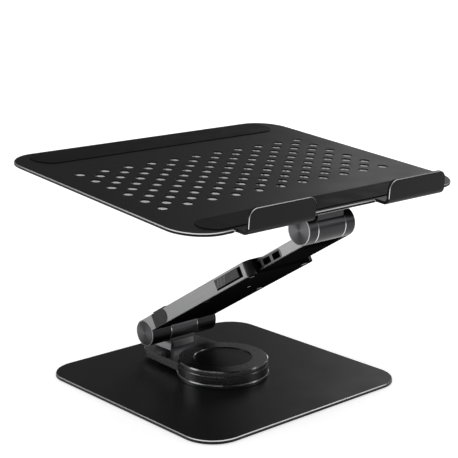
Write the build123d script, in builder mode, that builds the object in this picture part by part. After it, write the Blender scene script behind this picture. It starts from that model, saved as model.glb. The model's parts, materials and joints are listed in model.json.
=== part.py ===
from build123d import *
from math import atan2, cos, radians, sin, tan
import os

# Folding laptop stand: a swivel base, a telescoping arm between two friction hinges, and a
# perforated tray. The origin is the centre of the base's underside. +X runs along the hinge pins,
# -Y is the side the user sits at, and +Z is up. Every piece is drawn in the open, working
# position of the stand.

# ---- Driving dimensions (mm, degrees) ----

# base
BASE_SIZE = 260.0
BASE_CORNER = 32.0
PAD_THICKNESS = 1.0
PLATE_THICKNESS = 3.2
EDGE_BREAK = 0.7

# swivel, a stack of discs on the base plate
DISC_RADIUS = 45.8
FLANGE_RADIUS = 46.6
FLANGE_THICKNESS = 4.4
FLANGE_CHAMFER = 1.0
SEAM_HEIGHT = 0.6
SEAM_DEPTH = 1.0
HUB_RADIUS = 18.0
TURN_GAP = 0.2
TURNTABLE_THICKNESS = 8.2
TURNTABLE_CHAMFER = 0.3
CLAMP_THICKNESS = 5.1
CLAMP_CHAMFER = 1.2
CAP_RADIUS = 29.1
CAP_THICKNESS = 1.6
CAP_PLAY = 0.15
CAP_CHAMFER = 0.3
RECESS_DEPTH = 2.5
RECESS_CHAMFER = 0.5
RIM_NOTCH = (1.2, 1.6, -25.0)
SLIP_RADII = (22.0, 40.0)
SLIP_THICKNESS = 1.0
SLIP_PLAY = 0.4

# tab that carries the lower hinge
TAB_ROOT = (37.2, 26.0)
TAB_TIP = (33.4, 92.0)
TAB_CORNER = 10.0

# hinges
ARM_ANGLE = 31.3
LOWER_AXIS = (73.3, 38.2)
LOWER_RADIUS = 13.7
LOWER_HALF = 42.4
UPPER_RADIUS = 13.9
UPPER_HALF = 29.0
UPPER_ALONG = 253.6
UPPER_ACROSS = 15.4
KNUCKLE_HALF = 16.6
WASHER_THICKNESS = 1.4
WASHER_PROUD = 0.25
SIDE_KNUCKLE = 18.2
PIN_RADIUS = 4.0
PIN_CHAMFER = 0.4
PRESS_FIT = 0.02
RUNNING_FIT = 0.05
BUSH_WALL = 2.4
NUT_WIDTH = 13.0
NUT_THICKNESS = 4.0
NUT_PLAY = 0.6
NUT_SUNK = 1.0
BUSH_SETBACK = 0.4
WASHER_INNER = KNUCKLE_HALF + 0.05
WASHER_CHAMFER = 0.4
END_CAP_THICKNESS = 1.5
END_CAP_INSET = 0.8
END_CAP_PLAY = 0.1
END_CAP_CHAMFER = 0.25

# arm: the outer housing and the inner arm that slides in it
HOUSING_DEPTH = (-1.6, 13.6)
HOUSING_END = 187.0
HOUSING_CORNER = 8.0
ARM_EDGE = 0.5
CAVITY_HALF = 30.0
CAVITY_DEPTH = (1.1, 12.1)
CAVITY_START = 46.0
COVER_HALF = 38.0
COVER_SPAN = (24.0, 184.0)
INNER_DEPTH = (1.4, 11.8)
INNER_START = 92.0
HINGE_CUT = 17.6
POCKET_PITCH = 14.3
POCKET_COUNT = 7
LAST_POCKET = 213.0
POCKET_SIZE = (10.5, 6.2)
POCKET_DEPTH = 4.0
POCKET_CORNER = 0.8
TRACK_DEPTH = 1.0
TRACK_HEIGHT = 8.6
TRACK_CORNER = 2.4
RETRACT_STEPS = 3
EXTEND_STEPS = 2

# lock
SLOT_SPAN = (134.0, 176.6)
SLOT_DEPTH = (1.0, 11.6)
SLIDER_DEPTH = (2.5, 11.3)
SLIDER_LENGTH = 37.6
SLIDER_TRAVEL = 4.5
PAWL_TRAVEL = 2.74

# bumper band across the housing
BUMPER_SPAN = (21.0, 46.5)
BUMPER_WALL = 1.2
BUMPER_PROUD = 1.0
BUMPER_PLAY = 0.1

# tray; each pad is given by its length, its width and how far its middle is from the nearest edge
TRAY_TILT = 5.13
TRAY_SIZE = (346.4, 285.4)
TRAY_FRONT = (-159.8, 204.75)
TRAY_CORNER = 34.0
TRAY_THICKNESS = 3.0
LIP_SPAN = (46.6, 124.5)
LIP_REACH = 13.5
LIP_HEIGHT = 20.5
LIP_CORNER = 9.0
LIP_BEND = 6.0
LIP_EDGE = 0.4
UNDER_EDGE = 0.4
NOTCH_INSET = 0.4
NOTCH_RADIUS = 1.6
HOLE_RADIUS = 5.0
HOLE_EDGE = 0.3
HOLE_PITCH = (28.1, 12.2)
HOLE_COLUMNS = 11
HOLE_ROWS = 11
FIRST_ROW = 78.2
FRONT_PAD = (298.0, 30.5, 19.8)
BACK_PAD = (304.0, 38.0, 24.0)
SOFT_PROUD = 0.9
SOFT_SUNK = 0.6
SOFT_PLAY = 0.3
SOFT_ROUND = 0.4

# ---- Derived places ----

Z_PLATE = PAD_THICKNESS + PLATE_THICKNESS
Z_FLANGE = Z_PLATE + FLANGE_THICKNESS
Z_TURN = Z_FLANGE + TURN_GAP
Z_TURN_TOP = Z_TURN + TURNTABLE_THICKNESS
Z_CLAMP = Z_TURN_TOP + TURN_GAP
Z_TOP = Z_CLAMP + CLAMP_THICKNESS
Z_RECESS = Z_TOP - RECESS_DEPTH

# arm frame: x runs up the arm from the lower hinge, y across its depth, z along -X
arm_side = Plane(
    origin=(0, *LOWER_AXIS),
    x_dir=(0, -cos(radians(ARM_ANGLE)), sin(radians(ARM_ANGLE))),
    z_dir=(-1, 0, 0),
)
# tray frame: x along the front edge, y from the front edge to the back, z out of the top face
tray_top = Plane(
    origin=(0, *TRAY_FRONT),
    x_dir=(1, 0, 0),
    z_dir=(0, -sin(radians(TRAY_TILT)), cos(radians(TRAY_TILT))),
)
# the same tray seen from its side: x from front to back, y out of the top face, z along X
tray_side = Plane(origin=tray_top.origin, x_dir=tray_top.y_dir, z_dir=(1, 0, 0))

across_arm = Axis(arm_side.origin, arm_side.y_dir)
upper_axis = arm_side.from_local_coords((UPPER_ALONG, UPPER_ACROSS, 0))
upper_in_tray = tray_side.to_local_coords(upper_axis)
AXIS_BACK = upper_in_tray.X
AXIS_DROP = upper_in_tray.Y
POCKET_MID = sum(INNER_DEPTH) / 2 - 0.2
PAWL_AT = LAST_POCKET - RETRACT_STEPS * POCKET_PITCH
RETRACT = RETRACT_STEPS * POCKET_PITCH
EXTEND = EXTEND_STEPS * POCKET_PITCH


# ---- Helpers, each used inside a BuildPart block ----


def arm_block(along, across, x_span, mode=Mode.ADD):
    """A block in the arm frame, between two places along it, across it and in X."""
    with BuildSketch(arm_side.offset(-x_span[1])) as outline:
        with Locations((sum(along) / 2, sum(across) / 2)):
            Rectangle(along[1] - along[0], across[1] - across[0])
    extrude(outline.sketch, amount=x_span[1] - x_span[0], mode=mode)


def rod(centre, radius, x_span, mode=Mode.ADD):
    """A round bar along X about a hinge axis, between two places in X."""
    section = Plane(origin=(x_span[0], *centre), x_dir=(0, 1, 0), z_dir=(1, 0, 0))
    with BuildSketch(section) as outline:
        Circle(radius)
    extrude(outline.sketch, amount=x_span[1] - x_span[0], mode=mode)


def tray_block(x_span, back, height, mode=Mode.ADD):
    """A block in the tray frame, between two places in X, from front to back and in height."""
    with BuildSketch(tray_top.offset(height[0])) as outline:
        with Locations((sum(x_span) / 2, sum(back) / 2)):
            Rectangle(x_span[1] - x_span[0], back[1] - back[0])
    extrude(outline.sketch, amount=height[1] - height[0], mode=mode)


def disc(radius, bottom, top, bore=0.0, mode=Mode.ADD):
    """A level disc or ring about the swivel axis."""
    with BuildSketch(Plane.XY.offset(bottom)) as outline:
        Circle(radius)
        if bore:
            Circle(bore, mode=Mode.SUBTRACT)
    extrude(outline.sketch, amount=top - bottom, mode=mode)


def seam(radius, bottom):
    """A rebate round the foot of a disc, which shows as a dark line between it and the next."""
    disc(radius + SEAM_DEPTH, bottom, bottom + SEAM_HEIGHT, radius - SEAM_DEPTH, Mode.SUBTRACT)


def countersunk_screws(seat, places, head_radius, shank_radius, length, drive_radius):
    """Countersunk screws whose heads lie flush in the seat plane and point against its normal."""
    head_height = head_radius - shank_radius
    with BuildSketch(seat) as heads:
        with Locations(*places):
            Circle(head_radius)
    extrude(heads.sketch, amount=-head_height, taper=45)
    with BuildSketch(seat.offset(-head_height)) as shanks:
        with Locations(*places):
            Circle(shank_radius)
    extrude(shanks.sketch, amount=-(length - head_height))
    with BuildSketch(seat) as drives:
        with Locations(*places):
            RegularPolygon(drive_radius, 6)
    extrude(drives.sketch, amount=-head_height * 0.8, mode=Mode.SUBTRACT)


def countersunk_holes(seat, places, head_radius, shank_radius, length, play=0.1):
    """Room for countersunk_screws, with a little play all round."""
    head_height = head_radius - shank_radius
    with BuildSketch(seat) as heads:
        with Locations(*places):
            Circle(head_radius + play)
    extrude(heads.sketch, amount=-head_height, taper=45, mode=Mode.SUBTRACT)
    with BuildSketch(seat) as shanks:
        with Locations(*places):
            Circle(shank_radius + play)
    extrude(shanks.sketch, amount=-(length + play), mode=Mode.SUBTRACT)


def save(piece, name):
    """Label a finished piece and write it to its own file."""
    piece.part.label = name
    export_step(piece.part, f"parts/{name}.step")


os.makedirs("parts", exist_ok=True)

# ---- Base ----

BASE_SCREWS = [(30.0, 30.0), (-30.0, 30.0), (-30.0, -30.0), (30.0, -30.0)]
BASE_SCREW = (4.6, 2.5, PLATE_THICKNESS + 3.0)
base_underside = Plane(origin=(0, 0, PAD_THICKNESS), x_dir=(1, 0, 0), z_dir=(0, 0, -1))

with BuildPart() as base_plate:
    with BuildSketch(Plane.XY.offset(PAD_THICKNESS)):
        RectangleRounded(BASE_SIZE, BASE_SIZE, BASE_CORNER)
    extrude(amount=PLATE_THICKNESS)
    chamfer(base_plate.edges().group_by(Axis.Z)[-1], EDGE_BREAK)
    countersunk_holes(base_underside, BASE_SCREWS, *BASE_SCREW)
save(base_plate, "base_plate")

with BuildPart() as base_pad:
    with BuildSketch():
        RectangleRounded(BASE_SIZE - 4, BASE_SIZE - 4, BASE_CORNER - 2)
    extrude(amount=PAD_THICKNESS)
save(base_pad, "base_pad")

with BuildPart() as base_screws:
    countersunk_screws(base_underside, BASE_SCREWS, *BASE_SCREW, drive_radius=1.6)
save(base_screws, "base_screws")

# ---- Swivel stack ----

# the slip washers run in grooves that are a little wider than they are
SLIP_OUTER = SLIP_RADII[1] + SLIP_PLAY
SLIP_INNER = SLIP_RADII[0] - SLIP_PLAY
CLAMP_SCREW_RADIUS = 11.0
TAPPED_HOLE = (2.1, 7.1)

with BuildPart() as swivel_flange:
    disc(FLANGE_RADIUS, Z_PLATE, Z_FLANGE)
    chamfer(swivel_flange.edges().group_by(Axis.Z)[-1], FLANGE_CHAMFER)
    seam(FLANGE_RADIUS, Z_PLATE)
    disc(HUB_RADIUS, Z_FLANGE, Z_CLAMP)
    disc(SLIP_OUTER, Z_TURN - SLIP_THICKNESS, Z_FLANGE, SLIP_INNER, Mode.SUBTRACT)
    countersunk_holes(base_underside, BASE_SCREWS, *BASE_SCREW)
    with Locations((0, 0, Z_CLAMP)):
        with PolarLocations(CLAMP_SCREW_RADIUS, 4, start_angle=45):
            Hole(TAPPED_HOLE[0], depth=TAPPED_HOLE[1])
save(swivel_flange, "swivel_flange")

with BuildPart() as lower_slip_washer:
    disc(SLIP_RADII[1], Z_TURN - SLIP_THICKNESS, Z_TURN, SLIP_RADII[0])
save(lower_slip_washer, "lower_slip_washer")

with BuildPart() as upper_slip_washer:
    disc(SLIP_RADII[1], Z_CLAMP - SLIP_THICKNESS, Z_CLAMP, SLIP_RADII[0])
save(upper_slip_washer, "upper_slip_washer")

BRACKET_SCREWS = [(-9.0, 68.0), (9.0, 68.0), (-9.0, 81.0), (9.0, 81.0)]
BRACKET_SCREW = (3.9, 2.0, 13.0)
tab_underside = Plane(origin=(0, 0, Z_TURN), x_dir=(1, 0, 0), z_dir=(0, 0, -1))
screws_from_below = [(x, -y) for x, y in BRACKET_SCREWS]

with BuildPart() as turntable:
    disc(DISC_RADIUS, Z_TURN, Z_TURN_TOP)
    seam(DISC_RADIUS, Z_TURN)
    with BuildSketch(Plane.XY.offset(Z_TURN)):
        with BuildLine():
            Polyline(
                (-TAB_ROOT[0], TAB_ROOT[1]),
                (-TAB_TIP[0], TAB_TIP[1]),
                (TAB_TIP[0], TAB_TIP[1]),
                (TAB_ROOT[0], TAB_ROOT[1]),
                close=True,
            )
        make_face()
    extrude(amount=TURNTABLE_THICKNESS)
    tab_corners = turntable.edges().filter_by(Axis.Z).sort_by(Axis.Y)[-2:]
    fillet(tab_corners, TAB_CORNER)
    tab_rim = turntable.edges().group_by(Axis.Z)[-1]
    chamfer(tab_rim, TURNTABLE_CHAMFER)
    disc(HUB_RADIUS + RUNNING_FIT, Z_TURN, Z_TURN_TOP, mode=Mode.SUBTRACT)
    disc(SLIP_OUTER, Z_CLAMP - SLIP_THICKNESS, Z_TURN_TOP, SLIP_INNER, Mode.SUBTRACT)
    countersunk_holes(tab_underside, screws_from_below, *BRACKET_SCREW)
save(turntable, "turntable")

CLAMP_SCREWS = [
    (CLAMP_SCREW_RADIUS * cos(radians(a)), CLAMP_SCREW_RADIUS * sin(radians(a)))
    for a in range(45, 405, 90)
]
CLAMP_SCREW = (4.0, 2.0, 9.0)
recess_floor = Plane.XY.offset(Z_RECESS)

with BuildPart() as clamp_ring:
    disc(DISC_RADIUS, Z_CLAMP, Z_TOP)
    chamfer(clamp_ring.edges().group_by(Axis.Z)[-1], CLAMP_CHAMFER)
    seam(DISC_RADIUS, Z_CLAMP)
    disc(CAP_RADIUS, Z_RECESS, Z_TOP, mode=Mode.SUBTRACT)
    rim = clamp_ring.edges().group_by(Axis.Z)[-1].sort_by(SortBy.LENGTH)[0]
    chamfer(rim, RECESS_CHAMFER)
    countersunk_holes(recess_floor, CLAMP_SCREWS, *CLAMP_SCREW)
    with Locations((0, 0, Z_TOP)):
        with PolarLocations(CAP_RADIUS, 1, start_angle=RIM_NOTCH[2]):
            Hole(RIM_NOTCH[0], depth=RIM_NOTCH[1])
save(clamp_ring, "clamp_ring")

with BuildPart() as clamp_screws:
    countersunk_screws(recess_floor, CLAMP_SCREWS, *CLAMP_SCREW, drive_radius=1.4)
save(clamp_screws, "clamp_screws")

with BuildPart() as centre_cap:
    disc(CAP_RADIUS - CAP_PLAY, Z_RECESS, Z_RECESS + CAP_THICKNESS)
    chamfer(centre_cap.edges().group_by(Axis.Z)[-1], CAP_CHAMFER)
save(centre_cap, "centre_cap")

# ---- Lower hinge ----

BRACKET_FOOT = (61.5, 87.5)
BRACKET_SLOPE = 1.7
BRACKET_SHOULDER = LOWER_AXIS[1] - 9.0
BRACKET_TOP_HALF = 6.0
FOOT_HALF = 18.3
FOOT_TOP = 23.5
PLATE_SIZE = (27.0, 6.4, 1.0)
PLATE_CORNER = 0.65
PLATE_PLAY = 0.15
PLATE_RISE = 5.2
front_tilt = atan2(BRACKET_SLOPE, BRACKET_SHOULDER - Z_TURN_TOP)
front_face = Plane(
    origin=(0, BRACKET_FOOT[0] + PLATE_RISE * tan(front_tilt), Z_TURN_TOP + PLATE_RISE),
    x_dir=(1, 0, 0),
    z_dir=(0, -cos(front_tilt), sin(front_tilt)),
)

with BuildPart() as lower_bracket:
    with BuildSketch(Plane.YZ.offset(-FOOT_HALF)):
        with BuildLine():
            Polyline(
                (BRACKET_FOOT[0], Z_TURN_TOP),
                (BRACKET_FOOT[1], Z_TURN_TOP),
                (BRACKET_FOOT[1] - BRACKET_SLOPE, BRACKET_SHOULDER),
                (LOWER_AXIS[0] + BRACKET_TOP_HALF, LOWER_AXIS[1]),
                (LOWER_AXIS[0] - BRACKET_TOP_HALF, LOWER_AXIS[1]),
                (BRACKET_FOOT[0] + BRACKET_SLOPE, BRACKET_SHOULDER),
                close=True,
            )
        make_face()
    extrude(amount=2 * FOOT_HALF)
    # the foot flares out to both sides where it stands on the tab
    with BuildSketch(Plane.XZ) as front_view:
        with BuildLine():
            Polyline(
                (-FOOT_HALF, Z_TURN_TOP),
                (FOOT_HALF, Z_TURN_TOP),
                (KNUCKLE_HALF, FOOT_TOP),
                (KNUCKLE_HALF, LOWER_AXIS[1]),
                (-KNUCKLE_HALF, LOWER_AXIS[1]),
                (-KNUCKLE_HALF, FOOT_TOP),
                close=True,
            )
        make_face()
    extrude(front_view.sketch, amount=-BRACKET_FOOT[1], mode=Mode.INTERSECT)
    rod(LOWER_AXIS, LOWER_RADIUS, (-KNUCKLE_HALF, KNUCKLE_HALF))
    rod(LOWER_AXIS, PIN_RADIUS + PRESS_FIT, (-KNUCKLE_HALF, KNUCKLE_HALF), Mode.SUBTRACT)
    countersunk_holes(tab_underside, screws_from_below, *BRACKET_SCREW)
    with BuildSketch(front_face):
        RectangleRounded(
            PLATE_SIZE[0] + 2 * PLATE_PLAY, PLATE_SIZE[1] + 2 * PLATE_PLAY, PLATE_CORNER + PLATE_PLAY
        )
    extrude(amount=-PLATE_SIZE[2], mode=Mode.SUBTRACT)
save(lower_bracket, "lower_bracket")

with BuildPart() as bracket_plate:
    with BuildSketch(front_face.offset(-PLATE_SIZE[2])):
        RectangleRounded(PLATE_SIZE[0], PLATE_SIZE[1], PLATE_CORNER)
    extrude(amount=PLATE_SIZE[2])
save(bracket_plate, "bracket_plate")

with BuildPart() as bracket_screws:
    countersunk_screws(tab_underside, screws_from_below, *BRACKET_SCREW, drive_radius=1.3)
save(bracket_screws, "bracket_screws")


def on_side(side, inner, outer):
    """The X span between two distances from the middle, on the left (-1) or right (1) side."""
    return sorted((side * inner, side * outer))


def hinge_pieces(prefix, centre, radius, half):
    """The pin, washers, nuts, bushes and end caps of one barrel, written as their own nodes."""
    nut_face = half - END_CAP_THICKNESS - NUT_SUNK
    with BuildPart() as pin:
        rod(centre, PIN_RADIUS, (-nut_face, nut_face))
        chamfer(pin.edges().filter_by(GeomType.CIRCLE), PIN_CHAMFER)
    save(pin, f"{prefix}_hinge_pin")

    with BuildPart() as washers:
        for side in (-1, 1):
            washer_span = on_side(side, WASHER_INNER, WASHER_INNER + WASHER_THICKNESS)
            rod(centre, radius + WASHER_PROUD, washer_span)
        chamfer(washers.edges().filter_by(GeomType.CIRCLE), WASHER_CHAMFER)
        for side in (-1, 1):
            bore_span = on_side(side, KNUCKLE_HALF, SIDE_KNUCKLE)
            rod(centre, PIN_RADIUS + RUNNING_FIT, bore_span, Mode.SUBTRACT)
    save(washers, f"{prefix}_hinge_washers")

    with BuildPart() as nuts:
        for side in (-1, 1):
            nut_start = on_side(side, nut_face - NUT_THICKNESS, nut_face)[0]
            section = Plane(origin=(nut_start, *centre), x_dir=(0, 1, 0), z_dir=(1, 0, 0))
            with BuildSketch(section) as hexagon:
                RegularPolygon(NUT_WIDTH / 2, 6, major_radius=False)
                Circle(PIN_RADIUS + PRESS_FIT, mode=Mode.SUBTRACT)
            extrude(hexagon.sketch, amount=NUT_THICKNESS)
    save(nuts, f"{prefix}_hinge_nuts")

    bush_end = nut_face - NUT_THICKNESS - NUT_PLAY
    with BuildPart() as bushes:
        for side in (-1, 1):
            bush_span = on_side(side, SIDE_KNUCKLE + BUSH_SETBACK, bush_end)
            rod(centre, PIN_RADIUS + BUSH_WALL, bush_span)
            rod(centre, PIN_RADIUS + RUNNING_FIT, bush_span, Mode.SUBTRACT)
    save(bushes, f"{prefix}_hinge_bushes")

    for side, name in ((-1, "left"), (1, "right")):
        with BuildPart() as end_cap:
            rod(centre, radius - END_CAP_INSET, on_side(side, half - END_CAP_THICKNESS, half))
            outer_rim = end_cap.edges().group_by(Axis.X)[0 if side < 0 else -1]
            chamfer(outer_rim, END_CAP_CHAMFER)
        save(end_cap, f"{prefix}_end_cap_{name}")


def bore_side_knuckles(centre, radius, half):
    """Cut the pin bore, the nut room and the end cap seat into both side knuckles."""
    nut_back = half - END_CAP_THICKNESS - NUT_SUNK - NUT_THICKNESS - NUT_PLAY
    nut_corner = NUT_WIDTH / 2 / cos(radians(30))
    for side in (-1, 1):
        bush_bore = on_side(side, KNUCKLE_HALF, half)
        rod(centre, PIN_RADIUS + BUSH_WALL + PRESS_FIT, bush_bore, Mode.SUBTRACT)
        rod(centre, nut_corner + NUT_PLAY, on_side(side, nut_back, half), Mode.SUBTRACT)
        cap_seat = on_side(side, half - END_CAP_THICKNESS, half)
        rod(centre, radius - END_CAP_INSET + END_CAP_PLAY, cap_seat, Mode.SUBTRACT)


hinge_pieces("lower", LOWER_AXIS, LOWER_RADIUS, LOWER_HALF)

# ---- Arm housing ----

COVER_SCREWS_ALONG = (30.0, 104.0, 178.0)
COVER_SCREW_X = 34.2
COVER_SCREW = (2.7, 1.4, 6.5)
STOP_AT = 130.0
STOP_RADIUS = 2.0
STOP_LENGTH = 5.2
CHANNEL_SPAN = (125.5, 179.0)
CHANNEL_DEPTH = (4.2, 8.3)
CHANNEL_BACK = 39.3
GLIDE_SPAN = (110.0, 180.0)
GLIDE_DEPTH = (9.6, 11.6)
BAND_SPAN = (25.5, 45.7)
BAND_SUNK = 0.6
EAR_SUNK = 0.6
LOW_RAIL = (52.0, 98.0)
HIGH_RAIL = (110.0, 172.0)
RAIL_HOLLOW = (32.0, 39.6)
RAIL_CEILING = 11.6
COVER_PLAY = 0.1

cover_face = Plane(
    origin=arm_side.from_local_coords((0, HOUSING_DEPTH[0], 0)),
    x_dir=arm_side.x_dir,
    z_dir=arm_side.y_dir * -1,
)
cover_screw_places = [(u, side * COVER_SCREW_X) for u in COVER_SCREWS_ALONG for side in (-1, 1)]


def bumper(play, mode=Mode.ADD):
    """The bumper band: a D-shaped ear let into each side face, and a strip across the top."""
    low = HOUSING_DEPTH[0] + EAR_SUNK
    nose = (HOUSING_DEPTH[1] - low) / 2
    for x_low in (-LOWER_HALF, LOWER_HALF - BUMPER_WALL):
        with BuildSketch(arm_side.offset(-x_low - BUMPER_WALL)) as ear:
            with Locations(((BUMPER_SPAN[0] + BUMPER_SPAN[1] - nose) / 2, low + nose)):
                Rectangle(BUMPER_SPAN[1] - nose - BUMPER_SPAN[0] + 2 * play, 2 * nose)
            with Locations((BUMPER_SPAN[1] - nose, low + nose)):
                Circle(nose + play)
            with Locations(((BUMPER_SPAN[0] + BUMPER_SPAN[1]) / 2, low + nose - play)):
                Rectangle(2 * BUMPER_SPAN[1], 2 * nose + 2 * play, mode=Mode.INTERSECT)
        extrude(ear.sketch, amount=BUMPER_WALL, mode=mode)
    strip_span = (BAND_SPAN[0] - play, BAND_SPAN[1] + play)
    strip_top = HOUSING_DEPTH[1] + BUMPER_PROUD
    strip_low = HOUSING_DEPTH[1] - BAND_SUNK
    arm_block(strip_span, (strip_low, strip_top), (-LOWER_HALF, LOWER_HALF), mode)


with BuildPart() as arm_housing:
    arm_block((0, HOUSING_END), HOUSING_DEPTH, (-LOWER_HALF, LOWER_HALF))
    across_edges = arm_housing.edges().filter_by(across_arm)
    fillet(across_edges.sort_by(Axis.Z)[-2:], HOUSING_CORNER)
    chamfer(arm_housing.faces().filter_by(across_arm).edges(), ARM_EDGE)
    arm_block((-HINGE_CUT, HINGE_CUT), (-HINGE_CUT, HINGE_CUT), (-SIDE_KNUCKLE, SIDE_KNUCKLE), Mode.SUBTRACT)
    rod(LOWER_AXIS, LOWER_RADIUS, (-LOWER_HALF, -SIDE_KNUCKLE))
    rod(LOWER_AXIS, LOWER_RADIUS, (SIDE_KNUCKLE, LOWER_HALF))
    bore_side_knuckles(LOWER_AXIS, LOWER_RADIUS, LOWER_HALF)
    # room for the inner arm, and for the cover that closes it from below
    arm_block((CAVITY_START, HOUSING_END), CAVITY_DEPTH, (-CAVITY_HALF, CAVITY_HALF), Mode.SUBTRACT)
    cover_room = (COVER_SPAN[0] - COVER_PLAY, COVER_SPAN[1] + COVER_PLAY)
    cover_width = (-COVER_HALF - COVER_PLAY, COVER_HALF + COVER_PLAY)
    arm_block(cover_room, (HOUSING_DEPTH[0], CAVITY_DEPTH[0]), cover_width, Mode.SUBTRACT)
    # hollow side rails, with the left one kept solid round the lock
    for rail_span, side in ((LOW_RAIL, -1), (LOW_RAIL, 1), (HIGH_RAIL, 1)):
        rail_width = on_side(side, *RAIL_HOLLOW)
        arm_block(rail_span, (CAVITY_DEPTH[0], RAIL_CEILING), rail_width, Mode.SUBTRACT)
    # lock slot in the left face, and the channel behind it
    arm_block(SLOT_SPAN, SLOT_DEPTH, (-LOWER_HALF, -CHANNEL_BACK), Mode.SUBTRACT)
    arm_block(CHANNEL_SPAN, CHANNEL_DEPTH, (-CHANNEL_BACK, -CAVITY_HALF), Mode.SUBTRACT)
    bumper(BUMPER_PLAY, Mode.SUBTRACT)
    countersunk_holes(cover_face, cover_screw_places, *COVER_SCREW)
save(arm_housing, "arm_housing")

with BuildPart() as housing_cover:
    arm_block(COVER_SPAN, (HOUSING_DEPTH[0], CAVITY_DEPTH[0]), (-COVER_HALF, COVER_HALF))
    countersunk_holes(cover_face, cover_screw_places, *COVER_SCREW)
    with BuildSketch(cover_face) as stop_hole:
        with Locations((STOP_AT, 0)):
            Circle(STOP_RADIUS + PRESS_FIT)
    extrude(stop_hole.sketch, amount=-STOP_LENGTH, mode=Mode.SUBTRACT)
save(housing_cover, "housing_cover")

with BuildPart() as cover_screws:
    countersunk_screws(cover_face, cover_screw_places, *COVER_SCREW, drive_radius=1.0)
save(cover_screws, "cover_screws")

with BuildPart() as stop_pin:
    with BuildSketch(cover_face) as stop_section:
        with Locations((STOP_AT, 0)):
            Circle(STOP_RADIUS)
    extrude(stop_section.sketch, amount=-STOP_LENGTH)
save(stop_pin, "stop_pin")

with BuildPart() as arm_bumper:
    bumper(0.0)
save(arm_bumper, "arm_bumper")

with BuildPart() as arm_glides:
    for side in (-1, 1):
        arm_block(GLIDE_SPAN, GLIDE_DEPTH, on_side(side, UPPER_HALF + RUNNING_FIT, CAVITY_HALF))
save(arm_glides, "arm_glides")

# ---- Lock: a slider in the housing's left face, and the pawl that its wedge draws out ----

SLIDER_START = SLOT_SPAN[0] + 0.2
SLIDER_EDGE = 0.35
SLIDER_END = SLIDER_START + SLIDER_LENGTH
SLIDER_FACE = LOWER_HALF + 0.4
SLIDER_BACK = 39.5
WEDGE_START = 141.0
WEDGE_ROOT = 153.8
WEDGE_TIP = 160.8
WEDGE_INNER = 31.0
WEDGE_OUTER = 37.0
LOCK_PLAY = 0.4
LOCK_FLOAT = 0.2
PAWL_HALF = 4.5
PAWL_TIP = 28.35
PAWL_BACK = 35.6
SPRING_SPAN = (126.0, 140.8)
SPRING_RADII = (1.7, 1.1)
SPRING_X = 35.5

# along the arm, the wedge rises this much towards X for each millimetre
WEDGE_RISE = PAWL_TRAVEL / SLIDER_TRAVEL


def wedge_line(along, shift=0.0):
    """How far out the wedge face stands at a place along the arm."""
    return WEDGE_OUTER + shift - (along - WEDGE_ROOT) * WEDGE_RISE


lock_level = arm_side.from_local_coords((0, CHANNEL_DEPTH[0] + LOCK_FLOAT, 0))
# x runs along the arm and y towards -X
lock_plane = Plane(origin=lock_level, x_dir=arm_side.x_dir, z_dir=arm_side.y_dir)
LOCK_HEIGHT = CHANNEL_DEPTH[1] - CHANNEL_DEPTH[0] - 2 * LOCK_FLOAT
toward_left = -1 if lock_plane.y_dir.X > 0 else 1


with BuildPart() as lock_slider:
    arm_block(
        (SLIDER_START, SLIDER_END),
        SLIDER_DEPTH,
        (-SLIDER_FACE, -SLIDER_BACK),
    )
    chamfer(lock_slider.faces().sort_by(Axis.X)[0].edges(), SLIDER_EDGE)
    with BuildSketch(lock_plane) as wedge:
        with BuildLine():
            Polyline(
                (WEDGE_START, toward_left * SLIDER_BACK),
                (WEDGE_START, toward_left * WEDGE_INNER),
                (WEDGE_TIP, toward_left * WEDGE_INNER),
                (WEDGE_TIP, toward_left * wedge_line(WEDGE_TIP)),
                (WEDGE_ROOT, toward_left * wedge_line(WEDGE_ROOT)),
                (WEDGE_ROOT, toward_left * SLIDER_BACK),
                close=True,
            )
        make_face()
    extrude(wedge.sketch, amount=LOCK_HEIGHT)
save(lock_slider, "lock_slider")

PAWL_LOW = PAWL_AT - PAWL_HALF
HEEL_START = 160.0

with BuildPart() as lock_pawl:
    with BuildSketch(lock_plane) as pawl_outline:
        with BuildLine():
            Polyline(
                (HEEL_START, toward_left * wedge_line(HEEL_START, LOCK_PLAY)),
                (PAWL_LOW, toward_left * wedge_line(PAWL_LOW, LOCK_PLAY)),
                (PAWL_LOW, toward_left * PAWL_TIP),
                (PAWL_LOW + 2 * PAWL_HALF, toward_left * PAWL_TIP),
                (PAWL_LOW + 2 * PAWL_HALF, toward_left * PAWL_BACK),
                (HEEL_START, toward_left * PAWL_BACK),
                close=True,
            )
        make_face()
    extrude(pawl_outline.sketch, amount=LOCK_HEIGHT)
save(lock_pawl, "lock_pawl")

with BuildPart() as lock_spring:
    spring_middle = arm_side.from_local_coords((SPRING_SPAN[0], sum(CHANNEL_DEPTH) / 2, SPRING_X))
    with BuildSketch(Plane(origin=spring_middle, x_dir=(1, 0, 0), z_dir=arm_side.x_dir)):
        Circle(SPRING_RADII[0])
        Circle(SPRING_RADII[1], mode=Mode.SUBTRACT)
    extrude(amount=SPRING_SPAN[1] - SPRING_SPAN[0])
save(lock_spring, "lock_spring")

# ---- Inner arm ----

STOP_PLAY = 0.3
HOLLOW_HALF = 21.5
HOLLOW_DEPTH = (3.4, 9.8)
HOLLOW_END = 205.0
TRACK_START = INNER_START - 20.0
TRACK_END = 221.8
UPPER_CUT = UPPER_ALONG - HINGE_CUT
upper_centre = (upper_axis.Y, upper_axis.Z)
left_face = arm_side.offset(UPPER_HALF)
pocket_places = [(LAST_POCKET - n * POCKET_PITCH, POCKET_MID) for n in range(POCKET_COUNT)]

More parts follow.
